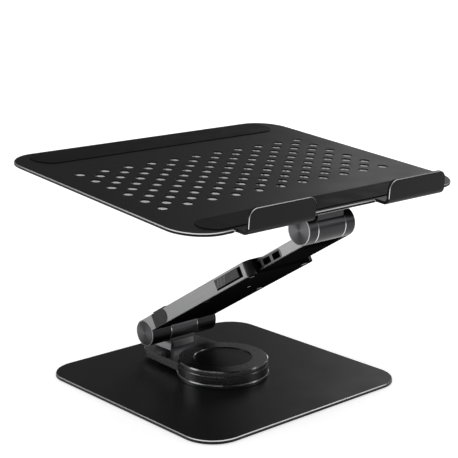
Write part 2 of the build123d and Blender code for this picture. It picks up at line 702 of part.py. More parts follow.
with BuildPart() as inner_arm:
    arm_block((INNER_START, UPPER_ALONG), INNER_DEPTH, (-UPPER_HALF, UPPER_HALF))
    chamfer(inner_arm.faces().filter_by(across_arm).edges(), ARM_EDGE)
    knuckle_gap = (UPPER_CUT, UPPER_ALONG + HINGE_CUT)
    full_depth = (INNER_DEPTH[0] - 1, UPPER_ACROSS + HINGE_CUT)
    arm_block(knuckle_gap, full_depth, (-SIDE_KNUCKLE, SIDE_KNUCKLE), Mode.SUBTRACT)
    rod(upper_centre, UPPER_RADIUS, (-UPPER_HALF, -SIDE_KNUCKLE))
    rod(upper_centre, UPPER_RADIUS, (SIDE_KNUCKLE, UPPER_HALF))
    bore_side_knuckles(upper_centre, UPPER_RADIUS, UPPER_HALF)
    arm_block((INNER_START, HOLLOW_END), HOLLOW_DEPTH, (-HOLLOW_HALF, HOLLOW_HALF), Mode.SUBTRACT)
    # sunk track along the left face, with the row of lock pockets in its floor
    with BuildSketch(left_face) as track:
        with Locations(((TRACK_START + TRACK_END) / 2, POCKET_MID)):
            RectangleRounded(TRACK_END - TRACK_START, TRACK_HEIGHT, TRACK_CORNER)
    extrude(track.sketch, amount=-TRACK_DEPTH, mode=Mode.SUBTRACT)
    with BuildSketch(left_face.offset(-TRACK_DEPTH)) as pockets:
        with Locations(*pocket_places):
            RectangleRounded(*POCKET_SIZE, POCKET_CORNER)
    extrude(pockets.sketch, amount=-POCKET_DEPTH, mode=Mode.SUBTRACT)
    # slot in the underside for the stop pin
    slot_half = STOP_RADIUS + STOP_PLAY
    slot_span = (STOP_AT - EXTEND - slot_half, STOP_AT + RETRACT + slot_half)
    arm_block(slot_span, (INNER_DEPTH[0], HOLLOW_DEPTH[1]), (-slot_half, slot_half), Mode.SUBTRACT)
save(inner_arm, "inner_arm")

hinge_pieces("upper", upper_centre, UPPER_RADIUS, UPPER_HALF)

# ---- Tray ----

BLOCK_HALF = 9.8
FLANGE_HALF = 30.0
FLANGE_BACK = 46.0
FLANGE_DROP = 3.0
TRAY_SCREWS = [(x, y) for x in (-23.0, 23.0) for y in (29.0, 39.0)]
TRAY_SCREW = (3.2, 1.6, 5.0)
screw_seat = tray_top.offset(-SOFT_SUNK)

with BuildPart() as tray_bracket:
    rod(upper_centre, UPPER_RADIUS, (-KNUCKLE_HALF, KNUCKLE_HALF))
    neck = (AXIS_BACK - BLOCK_HALF, AXIS_BACK + BLOCK_HALF)
    tray_block((-KNUCKLE_HALF, KNUCKLE_HALF), neck, (AXIS_DROP, -TRAY_THICKNESS))
    foot = (AXIS_BACK - 2, FLANGE_BACK)
    foot_depth = (-TRAY_THICKNESS - FLANGE_DROP, -TRAY_THICKNESS)
    tray_block((-FLANGE_HALF, FLANGE_HALF), foot, foot_depth)
    rod(upper_centre, PIN_RADIUS + PRESS_FIT, (-KNUCKLE_HALF, KNUCKLE_HALF), Mode.SUBTRACT)
    countersunk_holes(screw_seat, TRAY_SCREWS, *TRAY_SCREW)
save(tray_bracket, "tray_bracket")

LIP_MIDDLE = sum(LIP_SPAN) / 2
LIP_WIDTH = LIP_SPAN[1] - LIP_SPAN[0]
TONGUE_ROOT = 5.0
# the upright's outline runs on below the bend by this much before it is cut to shape
LIP_SPARE = 20.0

with BuildPart() as lips:
    inner_bend = LIP_BEND - TRAY_THICKNESS
    with BuildSketch(tray_side) as lip_section:
        with BuildLine():
            Polyline(
                (-LIP_REACH + LIP_BEND, -TRAY_THICKNESS),
                (TONGUE_ROOT, -TRAY_THICKNESS),
                (TONGUE_ROOT, 0),
                (-LIP_REACH + LIP_BEND, 0),
            )
            RadiusArc((-LIP_REACH + LIP_BEND, 0), (-LIP_REACH + TRAY_THICKNESS, inner_bend), inner_bend)
            Polyline(
                (-LIP_REACH + TRAY_THICKNESS, inner_bend),
                (-LIP_REACH + TRAY_THICKNESS, LIP_HEIGHT),
                (-LIP_REACH, LIP_HEIGHT),
                (-LIP_REACH, inner_bend),
            )
            RadiusArc((-LIP_REACH, inner_bend), (-LIP_REACH + LIP_BEND, -TRAY_THICKNESS), -LIP_BEND)
        make_face()
    extrude(lip_section.sketch, amount=LIP_SPAN[1], both=True)
    with BuildSketch(Plane(tray_top.origin, x_dir=(1, 0, 0), z_dir=tray_top.y_dir * -1)) as front_view:
        for side in (-1, 1):
            with Locations((side * LIP_MIDDLE, (LIP_HEIGHT - LIP_SPARE) / 2)):
                RectangleRounded(LIP_WIDTH, LIP_HEIGHT + LIP_SPARE, LIP_CORNER)
    extrude(front_view.sketch, amount=LIP_SPARE, both=True, mode=Mode.INTERSECT)
    front_rims = lips.faces().filter_by(Axis(tray_top.origin, tray_top.y_dir)).sort_by(Axis.Y)[:2].edges()
    upright_edges = front_rims.filter_by(lambda e: tray_side.to_local_coords(e.center()).Y > inner_bend + 0.1)
    chamfer(upright_edges, LIP_EDGE)

# staggered rows of vent holes: the even rows have one hole more than the odd ones
hole_places = [
    ((column - (HOLE_COLUMNS - 1 - row % 2) / 2) * HOLE_PITCH[0], FIRST_ROW + row * HOLE_PITCH[1])
    for row in range(HOLE_ROWS)
    for column in range(HOLE_COLUMNS - row % 2)
]

# each pad's length, width and middle, measured back from the front edge
soft_pads = {
    "front_pad": FRONT_PAD,
    "back_pad": (*BACK_PAD[:2], TRAY_SIZE[1] - BACK_PAD[2]),
}

with BuildPart() as tray:
    with BuildSketch(tray_top.offset(-TRAY_THICKNESS)) as outline:
        with Locations((0, TRAY_SIZE[1] / 2)):
            RectangleRounded(*TRAY_SIZE, TRAY_CORNER)
    extrude(outline.sketch, amount=TRAY_THICKNESS)
    rims = tray.faces().filter_by(Axis(tray_top.origin, tray_top.z_dir)).sort_by(Axis.Z)
    chamfer(rims[-1].edges(), EDGE_BREAK)
    chamfer(rims[0].edges(), UNDER_EDGE)
    add(lips.part)
    with BuildSketch(tray_top) as notches:
        notch_x = (LIP_SPAN[0] - NOTCH_RADIUS, LIP_SPAN[1] + NOTCH_RADIUS)
        with Locations(*[(side * x, NOTCH_INSET) for side in (-1, 1) for x in notch_x]):
            Circle(NOTCH_RADIUS)
    extrude(notches.sketch, amount=-TRAY_THICKNESS, mode=Mode.SUBTRACT)
    with BuildSketch(tray_top) as holes:
        with Locations(*hole_places):
            Circle(HOLE_RADIUS)
    extrude(holes.sketch, amount=-TRAY_THICKNESS, mode=Mode.SUBTRACT)
    with BuildSketch(tray_top) as hole_rims:
        with Locations(*hole_places):
            Circle(HOLE_RADIUS + HOLE_EDGE)
    extrude(hole_rims.sketch, amount=-HOLE_EDGE, taper=45, mode=Mode.SUBTRACT)
    with BuildSketch(tray_top) as soft_seats:
        for length, width, middle in soft_pads.values():
            with Locations((0, middle)):
                SlotOverall(length + SOFT_PLAY, width + SOFT_PLAY)
    extrude(soft_seats.sketch, amount=-SOFT_SUNK, mode=Mode.SUBTRACT)
    countersunk_holes(screw_seat, TRAY_SCREWS, *TRAY_SCREW)
save(tray, "tray")

for name, (length, width, middle) in soft_pads.items():
    with BuildPart() as soft_pad:
        with BuildSketch(tray_top.offset(-SOFT_SUNK)) as stadium:
            with Locations((0, middle)):
                SlotOverall(length, width)
        extrude(stadium.sketch, amount=SOFT_SUNK + SOFT_PROUD)
        pad_faces = soft_pad.faces().filter_by(Axis(tray_top.origin, tray_top.z_dir))
        fillet(pad_faces.sort_by(Axis.Z)[-1].edges(), SOFT_ROUND)
    save(soft_pad, name)

with BuildPart() as tray_screws:
    countersunk_screws(screw_seat, TRAY_SCREWS, *TRAY_SCREW, drive_radius=1.2)
save(tray_screws, "tray_screws")
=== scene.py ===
import json
from math import cos, pi, radians, sin, tan

import bmesh
import bpy
from bpy.props import FloatProperty, FloatVectorProperty, IntProperty, PointerProperty
from mathutils import Matrix, Vector


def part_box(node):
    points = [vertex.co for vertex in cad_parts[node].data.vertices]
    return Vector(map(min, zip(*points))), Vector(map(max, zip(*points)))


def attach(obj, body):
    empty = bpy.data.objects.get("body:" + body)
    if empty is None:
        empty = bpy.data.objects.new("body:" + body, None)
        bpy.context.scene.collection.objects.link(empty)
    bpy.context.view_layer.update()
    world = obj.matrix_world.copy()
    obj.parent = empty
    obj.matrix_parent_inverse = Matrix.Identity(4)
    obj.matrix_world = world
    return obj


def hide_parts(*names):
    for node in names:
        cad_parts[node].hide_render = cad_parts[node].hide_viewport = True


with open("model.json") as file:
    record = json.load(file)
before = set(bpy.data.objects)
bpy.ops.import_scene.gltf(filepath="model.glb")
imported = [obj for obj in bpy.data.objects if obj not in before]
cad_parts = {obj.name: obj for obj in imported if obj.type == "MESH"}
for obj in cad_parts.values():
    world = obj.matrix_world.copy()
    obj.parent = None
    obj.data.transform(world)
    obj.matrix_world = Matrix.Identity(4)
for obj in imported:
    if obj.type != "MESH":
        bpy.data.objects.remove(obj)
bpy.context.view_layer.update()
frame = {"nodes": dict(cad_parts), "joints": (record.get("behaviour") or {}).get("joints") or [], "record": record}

bl_info = {
    "name": "Laptop Stand Maker",
    "version": (1, 0, 0),
    "blender": (4, 5, 0),
    "location": "View3D > Sidebar > Stand",
    "description": "Finishes a folding laptop stand and sets it in a plain studio",
    "category": "Object",
}

MM = 0.001

UPRIGHT = (0.0, 0.0, 1.0)
SIDEWAYS = (1.0, 0.0, 0.0)
WHITE = (1.0, 1.0, 1.0, 1.0)

# ---- Finishes ----

# Scale of the grain, scale of its patches, and depth of its bump
COAT_GRAIN = (1900.0, 16.0, 0.22)
BLASTED_GRAIN = (2600.0, 22.0, 0.10)
LATHE_GRAIN = (2500.0, 30.0, 0.10)
STEEL_GRAIN = (1400.0, 90.0, 0.05)
PAPER_GRAIN = (700.0, 2.0, 0.02)
MOULDED_SCALES = (3000.0, 40.0)

# Roughness of the smoothest and the roughest patch of a moulded skin, and its depth
NYLON_SKIN = ((0.35, 0.50), 0.10)
PLASTIC_SKIN = ((0.34, 0.44), 0.15)
STRIP_SKIN = ((0.60, 0.75), 0.30)
BAND_SKIN = ((0.55, 0.70), 0.30)
BASE_PAD_SKIN = ((0.70, 0.85), 0.40)
PEBBLE_PITCH = 0.5 * MM

# Cosines between which a face leans away from an axis
CHAMFERED = (0.93, 0.35)
ROUNDED = (0.93, 0.05)
FACING = (1.1, 0.93)
SIDE_ON = (0.3, -1.0)

DRAWN_STRETCH = (1.0, 0.03, 1.0)
DRAWN_SCALE = 900.0
TURNED_STRETCH = (1.0, 0.05, 0.05)
TURNED_SCALE = 2600.0
LATHE_PITCH = 0.35 * MM
# Turn of the bow-tie sheen, and its share beside the lathe's rings
BOW_TURN = 0.5
BOW_SHARE = 0.8
# How much darker than the barrels the arm's black is, and how much lighter its rounded corners are as a painted
# highlight
BLACKED = 0.12
CORNER_GLEAM = 2.5
# How far the barrel's finish reaches past the end caps, and how wide a cap's rim with its painted highlight is
BARREL_MARGIN = 1.2 * MM
CAP_RIM = 0.3 * MM
# How far in from the arm's outermost face the light flanks and the sunk track's floor are found
FLANK_DEPTH = 0.3 * MM
TRACK_DEPTH = 1.3 * MM
# Room left round the tray's sheet when its parts are told apart
SHEET_EDGE = 0.3 * MM

# ---- Fitting of the grown pieces ----

SAME_POINT = 0.01 * MM
GRIP_START = 0.6 * MM
GRIP_MARGINS = 0.8 * MM
SCREW_SINK = 0.05 * MM
DRIVE_DEPTH = 1.4
SHANK_TAPER = 0.85
SHARP_ANGLE = radians(40)
FLAT_ANGLE = radians(1)

# ---- Studio ----

FLOOR_HALF = 30.0
PAPER = ((0.80, 0.80, 0.80), (0.83, 0.83, 0.83))
SUN_ANGLE = radians(100)
SUN_HEIGHT = 2.0
LIGHT_AIM = Vector((0, 0, 0.12))
SENSOR_WIDTH = 36.0
# Name, azimuth and elevation in degrees, distance, size in metres, and power in watts
PANELS = (
    ("right_panel", 24, 24, 2.2, (1.1, 0.9), 6.0),
    ("front_panel", -46, 22, 2.0, (0.9, 0.7), 5.0),
    ("left_panel", 137, 8, 1.8, (1.0, 0.8), 9.0),
)

# ---- Places read from the frame ----

JOINTS = {joint["name"]: joint for joint in frame["joints"]}
MOUNTS = {mount["name"]: mount for mount in frame["record"]["mounts"]}
LOWER_AXIS = Vector(JOINTS["arm_hinge"]["pos_m"])
UPPER_AXIS = Vector(JOINTS["tray_hinge"]["pos_m"])
UP_THE_ARM = Vector(JOINTS["arm_extension"]["axis"]).normalized()
TO_THE_LEFT = Vector((-1, 0, 0))
ACROSS_ARM = TO_THE_LEFT.cross(UP_THE_ARM)
TRAY_NORMAL = Vector(MOUNTS["front_pad_face"]["axis"]).normalized()
TRAY_BACK = TRAY_NORMAL.cross(Vector(SIDEWAYS))
ARM_LIE = UP_THE_ARM.angle(Vector((0, -1, 0)))


def arm_matrix(along, across, left):
    """Places a shape drawn flat on the arm's left side: x up the arm, y across it, z to the left."""
    turn = Matrix((UP_THE_ARM, ACROSS_ARM, TO_THE_LEFT)).transposed().to_4x4()
    origin = LOWER_AXIS + UP_THE_ARM * along + ACROSS_ARM * across + TO_THE_LEFT * left
    return Matrix.Translation(origin) @ turn


def arm_span(name, direction):
    """Lowest and highest place of a CAD node's points along a direction, from the lower hinge axis."""
    points = frame["nodes"][name].data.vertices
    places = [(point.co - LOWER_AXIS).dot(direction) for point in points]
    return min(places), max(places)


def tray_outline():
    """The middle of the tray's sheet and half its size, from the straight stretch of its side edges."""
    points = [vertex.co for vertex in frame["nodes"]["tray"].data.vertices]
    half_width = max(point.x for point in points)
    side = [point for point in points if point.x > half_width - SAME_POINT]
    middle = sum(side, Vector()) / len(side)
    middle -= TRAY_BACK * middle.dot(TRAY_BACK)
    along = [point.dot(TRAY_BACK) for point in side]
    middle += TRAY_BACK * (min(along) + max(along)) / 2
    half_depth = max(point.dot(TRAY_BACK) for point in points) - middle.dot(TRAY_BACK)
    middle.x = 0
    return middle, Vector((half_width, half_depth, 0)), half_depth - (max(along) - min(along)) / 2


# ---- Sizes and colours that a user would change ----


def colour_property(name, description, default):
    """A colour that a user can change."""
    return FloatVectorProperty(name=name, description=description, default=default,
                               subtype="COLOR", size=3, min=0, max=1)


def length_property(name, description, default):
    """A length that a user can change."""
    return FloatProperty(name=name, description=description, default=default, unit="LENGTH")


class StandColours(bpy.types.PropertyGroup):
    coat: colour_property("Coat", "Powder coat of the base and the tray", (0.0068, 0.0068, 0.0072))
    alloy: colour_property("Alloy", "Anodised aluminium of the arm's flanks", (0.235, 0.235, 0.239))
    dark_alloy: colour_property(
        "Dark alloy", "Darker aluminium that the swivel, the brackets and the caps are shades of",
        (0.105, 0.105, 0.109))
    # Light bare metal of cut chamfers and edges, which also paints the highlights along them.
    cut_edge_highlight: colour_property(
        "Cut edge", "Bare metal where an edge was cut after coating", (0.80, 0.80, 0.81))
    # A lighter copy of the anodised alloy for chamfers: a painted edge highlight.
    soft_edge: colour_property(
        "Soft edge", "Anodised chamfers of the swivel's discs and the tray's bracket",
        (0.48, 0.48, 0.485))
    barrel: colour_property(
        "Barrel", "Near-black barrels and tray bracket; the arm's black parts are shades of it",
        (0.038, 0.038, 0.040))
    # Light metal on the vent holes' walls: a painted highlight of the light falling on them.
    hole_wall_highlight: colour_property("Hole wall", "Bare metal inside the vent holes", (0.38, 0.38, 0.39))
    # The ribs' colour is a lighter copy of the slider's plastic: a painted highlight of the light the ribs catch.
    rib: colour_property("Rib", "Worn tops of the slider's ribs", (0.19, 0.19, 0.193))
    steel: colour_property("Steel", "Pins and springs", (0.42, 0.42, 0.43))
    black_steel: colour_property("Black steel", "Screws and nuts", (0.10, 0.10, 0.105))
    rubber: colour_property(
        "Rubber", "Silicone strips, base pad and bumper band", (0.0065, 0.0065, 0.007))
    plastic: colour_property("Plastic", "Lock slider and pawl", (0.012, 0.012, 0.0125))
    nylon: colour_property("Nylon", "Slip washers, glides and bushes", (0.55, 0.54, 0.50))


class StandSizes(bpy.types.PropertyGroup):
    rib_pitch: length_property(
        "Rib pitch", "Distance from one rib of the slider's grip to the next", 2.35 * MM)
    rib_width: length_property("Rib width", "Width of a rib of the slider's grip", 1.1 * MM)
    rib_slant: FloatProperty(
        name="Rib slant", description="Lean of the ribs towards the upper hinge",
        default=radians(38), subtype="ANGLE",
    )
    grip_length: length_property("Grip length", "Length of the ribbed part of the slider", 22.5 * MM)
    soft_edge: length_property("Soft edge", "Rounding of the bumper band's edges", 0.3 * MM)
    spring_turns: IntProperty(
        name="Spring turns", description="Turns of the lock spring", default=11, min=3,
    )
    spring_wire: length_property("Spring wire", "Diameter of the lock spring's wire", 0.55 * MM)
    screw_head: length_property("Screw head", "Radius of a cover screw's countersunk head", 2.65 * MM)
    screw_shank: length_property("Screw shank", "Radius of a cover screw's thread", 1.4 * MM)
    screw_drive: length_property("Screw drive", "Radius of a cover screw's hexagon socket", 1.15 * MM)
    screw_length: length_property("Screw length", "Length of a cover screw", 6.4 * MM)


class StudioSettings(bpy.types.PropertyGroup):
    azimuth: FloatProperty(
        name="Azimuth", description="Where the camera stands, round the object",
        default=radians(-41.575), subtype="ANGLE",
    )
    elevation: FloatProperty(
        name="Elevation", description="Height of the camera above the horizon",
        default=radians(13.846), subtype="ANGLE",
    )
    distance: FloatProperty(
        name="Distance", description="From the camera to the point it looks at",
        default=1.25035, unit="LENGTH",
    )
    aim: FloatVectorProperty(
        name="Aim", description="Point that the camera looks at", subtype="TRANSLATION",
        size=3, default=(0.00818, 0.0, 0.15366),
    )
    field: FloatProperty(
        name="Field of view", description="Angle that the camera sees",
        default=radians(20.545), subtype="ANGLE",
    )
    sky: FloatProperty(
        name="Sky", description="Brightness of the room round the studio", default=0.10, min=0,
    )
    overhead: FloatProperty(
        name="Overhead", description="Strength of the soft light from above", default=1.5, min=0,
    )
    floor_glow: FloatProperty(
        name="Floor glow", description="Light that the floor gives off by itself", default=0.62, min=0,
    )


# ---- Small helpers for node trees and meshes ----


def fill(tree, made, inputs):
    """Gives each named input of a node a value, or links it to a socket."""
    for name, value in inputs.items():
        if isinstance(value, bpy.types.NodeSocket):
            tree.links.new(value, made.inputs[name])
        else:
            made.inputs[name].default_value = value
    return made


def node(tree, kind, settings=None, inputs=None):
    """A node with its settings made and its named inputs filled."""
    made = tree.nodes.new(kind)
    for name, value in (settings or {}).items():
        setattr(made, name, value)
    return fill(tree, made, inputs or {})


def maths(tree, operation, first, second=0.0, third=0.0, clamp=False):
    """The result of a Math node on up to three values or sockets."""
    made = node(tree, "ShaderNodeMath", {"operation": operation, "use_clamp": clamp},
                {0: first, 1: second, 2: third})
    return made.outputs[0]


def opposite(tree, value):
    """A value with its sign turned round."""
    return maths(tree, "MULTIPLY", value, -1.0)


def vector_maths(tree, operation, first, second, output="Vector"):
    """The result of a Vector Math node on two vectors or sockets."""
    made = node(tree, "ShaderNodeVectorMath", {"operation": operation}, {0: first, 1: second})
    return made.outputs[output]


def vector(tree, **parts):
    """A vector from its X, Y and Z."""
    return node(tree, "ShaderNodeCombineXYZ", None, parts).outputs["Vector"]


def split(tree, value):
    """The X, Y and Z of a vector."""
    return node(tree, "ShaderNodeSeparateXYZ", None, {"Vector": value}).outputs


def object_place(tree):
    """Where a point of the piece lies in the shared frame."""
    return tree.nodes.new("ShaderNodeTexCoord").outputs["Object"]


def new_group(name, kind, inputs, outputs):
    """An empty node group with named sockets, given as (name, socket kind, default) and (name, kind)."""
    tree = bpy.data.node_groups.new(name, kind)
    for socket_name, socket_kind, default in inputs:
        socket = tree.interface.new_socket(socket_name, in_out="INPUT", socket_type=socket_kind)
        socket.default_value = default
    for socket_name, socket_kind in outputs:
        tree.interface.new_socket(socket_name, in_out="OUTPUT", socket_type=socket_kind)
    return tree, tree.nodes.new("NodeGroupInput"), tree.nodes.new("NodeGroupOutput")


def grown_piece(name, tree, values, matrix, body):
    """Runs a geometry tree with its named inputs set, and keeps the result as a plain mesh piece."""
    carrier = bpy.data.objects.new(name, bpy.data.meshes.new(name))
    bpy.context.scene.collection.objects.link(carrier)
    grower = carrier.modifiers.new("grow", "NODES")
    grower.node_group = tree
    sockets = {item.name: item.identifier for item in tree.interface.items_tree if item.in_out == "INPUT"}
    for socket_name, value in values.items():
        grower[sockets[socket_name]] = value
    finished = carrier.evaluated_get(bpy.context.evaluated_depsgraph_get())
    mesh = bpy.data.meshes.new_from_object(finished)
    carrier.modifiers.clear()
    carrier.data = mesh
    if not mesh.polygons:
        raise RuntimeError(f"{name} came out empty")
    # The piece's place goes into its mesh, and its object stays at the origin.
    mesh.transform(matrix)
    mesh.update()
    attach(carrier, body)
    return carrier


# ---- Shader groups ----


def make_fine_grain():
    """Blasted or moulded grain: a fine bump, and a roughness that drifts over larger patches."""
    tree, given, result = new_group(
        "fine_grain", "ShaderNodeTree",
        [("Grain Scale", "NodeSocketFloat", 2500.0), ("Patch Scale", "NodeSocketFloat", 30.0),
         ("Depth", "NodeSocketFloat", 0.1), ("Smoothest", "NodeSocketFloat", 0.3),
         ("Roughest", "NodeSocketFloat", 0.4)],
        [("Roughness", "NodeSocketFloat"), ("Normal", "NodeSocketVector"),
         ("Mottle", "NodeSocketFloat")],
    )
    place = object_place(tree)
    grain = node(tree, "ShaderNodeTexNoise", None,
                 {"Vector": place, "Scale": given.outputs["Grain Scale"], "Detail": 2.0})
    patches = node(tree, "ShaderNodeTexNoise", None,
                   {"Vector": place, "Scale": given.outputs["Patch Scale"], "Detail": 4.0})
    drift = node(tree, "ShaderNodeMapRange", None,
                 {"Value": patches.outputs["Fac"], "From Min": 0.3, "From Max": 0.7,
                  "To Min": given.outputs["Smoothest"], "To Max": given.outputs["Roughest"]})
    relief = node(tree, "ShaderNodeBump", None,
                  {"Height": grain.outputs["Fac"], "Strength": given.outputs["Depth"],
                   "Distance": 0.1 * MM})
    fill(tree, result, {"Roughness": drift.outputs["Result"], "Normal": relief.outputs["Normal"],
                        "Mottle": patches.outputs["Fac"]})
    return tree


def make_cut_edge():
    """A mask of the faces whose lean from an axis is between two cosines, such as the chamfers."""
    tree, given, result = new_group(
        "cut_edge_highlight", "ShaderNodeTree",
        [("Axis", "NodeSocketVector", UPRIGHT), ("Flattest", "NodeSocketFloat", CHAMFERED[0]),
         ("Steepest", "NodeSocketFloat", CHAMFERED[1])],
        [("Mask", "NodeSocketFloat")],
    )
    facing = tree.nodes.new("ShaderNodeTexCoord").outputs["Normal"]
    lean = vector_maths(tree, "DOT_PRODUCT", facing, given.outputs["Axis"], "Value")
    size = maths(tree, "ABSOLUTE", lean)
    below = maths(tree, "LESS_THAN", size, given.outputs["Flattest"])
    above = maths(tree, "GREATER_THAN", size, given.outputs["Steepest"])
    fill(tree, result, {"Mask": maths(tree, "MULTIPLY", below, above)})
    return tree


def make_near_axis():
    """What lies within a radius of an axis along X, and the bow-tie sheen of a face spun about it."""
    tree, given, result = new_group(
        "near_axis", "ShaderNodeTree",
        [("Centre", "NodeSocketVector", (0.0, 0.0, 0.0)), ("Radius", "NodeSocketFloat", 0.0142)],
        [("Mask", "NodeSocketFloat"), ("Distance", "NodeSocketFloat"), ("Bow", "NodeSocketFloat")],
    )
    offset = vector_maths(tree, "SUBTRACT", object_place(tree), given.outputs["Centre"])
    flat = vector_maths(tree, "MULTIPLY", offset, (0.0, 1.0, 1.0))
    length = node(tree, "ShaderNodeVectorMath", {"operation": "LENGTH"}, {0: flat}).outputs["Value"]
    parts = split(tree, flat)
    angle = maths(tree, "ARCTAN2", parts["Z"], parts["Y"])
    wave = maths(tree, "COSINE", maths(tree, "MULTIPLY_ADD", angle, 2.0, BOW_TURN))
    fill(tree, result, {"Bow": maths(tree, "MULTIPLY_ADD", wave, 0.5, 0.5),
                        "Mask": maths(tree, "LESS_THAN", length, given.outputs["Radius"]),
                        "Distance": length})
    return tree


def make_drawn_lines():
    """Fine lines drawn along one direction, as a tool or a belt leaves them."""
    tree, given, result = new_group(
        "drawn_lines", "ShaderNodeTree",
        [("Stretch", "NodeSocketVector", (0.02, 1.0, 1.0)), ("Turn", "NodeSocketFloat", 0.0),
         ("Scale", "NodeSocketFloat", 1500.0)],
        [("Lines", "NodeSocketFloat")],
    )
    turned = node(tree, "ShaderNodeVectorRotate", {"rotation_type": "X_AXIS"},
                  {"Vector": object_place(tree), "Angle": given.outputs["Turn"]})
    stretched = vector_maths(tree, "MULTIPLY", turned.outputs["Vector"], given.outputs["Stretch"])
    lines = node(tree, "ShaderNodeTexNoise", None,
                 {"Vector": stretched, "Scale": given.outputs["Scale"], "Detail": 3.0})
    fill(tree, result, {"Lines": lines.outputs["Fac"]})
    return tree


def make_tray_place():
    """Masks of the sheet's cut outline, of its lower face inside that, and of the lips in front."""
    tree, given, result = new_group(
        "tray_place", "ShaderNodeTree",
        [("Middle", "NodeSocketVector", (0.0, 0.0, 0.2)), ("Tilt", "NodeSocketFloat", 0.0),
         ("Half Size", "NodeSocketVector", (0.15, 0.15, 0.0)), ("Corner", "NodeSocketFloat", 0.03),
         ("Rim Width", "NodeSocketFloat", 0.0015), ("Bend Height", "NodeSocketFloat", 0.005)],
        [("Rim", "NodeSocketFloat"), ("Deep", "NodeSocketFloat"), ("Lip", "NodeSocketFloat")],
    )
    offset = vector_maths(tree, "SUBTRACT", object_place(tree), given.outputs["Middle"])
    level = node(tree, "ShaderNodeVectorRotate", {"rotation_type": "X_AXIS"},
                 {"Vector": offset, "Angle": opposite(tree, given.outputs["Tilt"])})
    parts = split(tree, level.outputs["Vector"])
    half = split(tree, given.outputs["Half Size"])
    beyond = []
    for axis in ("X", "Y"):
        straight = maths(tree, "SUBTRACT", half[axis], given.outputs["Corner"])
        past = maths(tree, "SUBTRACT", maths(tree, "ABSOLUTE", parts[axis]), straight)
        beyond.append(maths(tree, "MAXIMUM", past, 0.0))
    squares = [maths(tree, "MULTIPLY", past, past) for past in beyond]
    reach = maths(tree, "SQRT", maths(tree, "ADD", *squares))
    limit = maths(tree, "SUBTRACT", given.outputs["Corner"], given.outputs["Rim Width"])
    near = maths(tree, "GREATER_THAN", reach, limit)
    inside = maths(tree, "SUBTRACT", 1.0, near)
    front = opposite(tree, maths(tree, "ADD", half["Y"], SHEET_EDGE))
    on_sheet = maths(tree, "GREATER_THAN", parts["Y"], front)
    before = maths(tree, "SUBTRACT", 1.0, on_sheet)
    above = maths(tree, "GREATER_THAN", parts["Z"], given.outputs["Bend Height"])
    low = maths(tree, "LESS_THAN", parts["Z"], SHEET_EDGE)
    fill(tree, result, {"Rim": maths(tree, "MULTIPLY", near, on_sheet),
                        "Deep": maths(tree, "MULTIPLY", low, inside),
                        "Lip": maths(tree, "MULTIPLY", above, before)})
    return tree


SHARED = {}


def use_group(tree, name, inputs):
    """Places a shared group in a material with its own values. Each group is built once."""
    if not SHARED:
        for make in (make_fine_grain, make_cut_edge, make_near_axis, make_drawn_lines, make_tray_place):
            group = make()
            SHARED[group.name] = group
    made = tree.nodes.new("ShaderNodeGroup")
    made.node_tree = SHARED[name]
    return fill(tree, made, inputs)


def use_grain(tree, grain, roughness):
    """The outputs of the fine grain, with its scales and depth and its range of roughness."""
    scale, patches, depth = grain
    values = {"Grain Scale": scale, "Patch Scale": patches, "Depth": depth,
              "Smoothest": roughness[0], "Roughest": roughness[1]}
    return use_group(tree, "fine_grain", values).outputs


def use_lines(tree, stretch, scale, turn=0.0):
    """The pattern of the drawn lines."""
    values = {"Stretch": stretch, "Turn": turn, "Scale": scale}
    return use_group(tree, "drawn_lines", values).outputs["Lines"]


def lean_mask(tree, axis, lean=CHAMFERED):
    """The mask of the faces that lean from an axis between two cosines."""
    values = {"Axis": tuple(axis), "Flattest": lean[0], "Steepest": lean[1]}
    return use_group(tree, "cut_edge_highlight", values).outputs["Mask"]


def new_material(name, metallic, specular=0.5):
    """A material that holds only its Principled shader."""
    material = bpy.data.materials.new(name)
    material.use_nodes = True
    tree = material.node_tree
    tree.nodes.clear()
    shader = node(tree, "ShaderNodeBsdfPrincipled", None,
                  {"Metallic": metallic, "Specular IOR Level": specular})
    node(tree, "ShaderNodeOutputMaterial", None, {"Surface": shader.outputs["BSDF"]})
    return material, tree, shader


def shade(colour, amount):
    """A colour made lighter or darker."""
    return tuple(min(1.0, part * amount) for part in colour)


def blend_colours(tree, factor, first, second):
    """A colour between two, by a mask."""
    mix = node(tree, "ShaderNodeMix", {"data_type": "RGBA"})
    tree.links.new(factor, mix.inputs[0])
    for socket, colour in ((mix.inputs[6], first), (mix.inputs[7], second)):
        if isinstance(colour, bpy.types.NodeSocket):
            tree.links.new(colour, socket)
        else:
            socket.default_value = (*colour, 1.0)
    return mix.outputs[2]


def varied(tree, factor, colour, spread):
    """A colour that a pattern makes darker and lighter by up to the spread."""
    return blend_colours(tree, factor, shade(colour, 1 - spread), shade(colour, 1 + spread))


def smoother(tree, roughness, mask, amount):
    """A roughness made less where a mask shows bare metal."""
    return maths(tree, "SUBTRACT", roughness, maths(tree, "MULTIPLY", mask, amount))


# ---- Materials ----


def coated_metal(name, colour, edge, edge_axis, specular=0.22):
    """Fine matte powder coat with a cut, bare edge whose light colour also paints the edge's highlight."""
    material, tree, shader = new_material(name, 0.0, specular)
    grain = use_grain(tree, COAT_GRAIN, (0.40, 0.50))
    edges = lean_mask(tree, edge_axis)
    body = varied(tree, grain["Mottle"], colour, 0.2)
    # The chamfers take the light edge colour and turn metallic: bare cut metal that also paints their highlight.
    fill(tree, shader, {"Base Color": blend_colours(tree, edges, body, edge), "Metallic": edges,
                        "Roughness": smoother(tree, grain["Roughness"], edges, 0.16),
                        "Normal": grain["Normal"]})
    return material


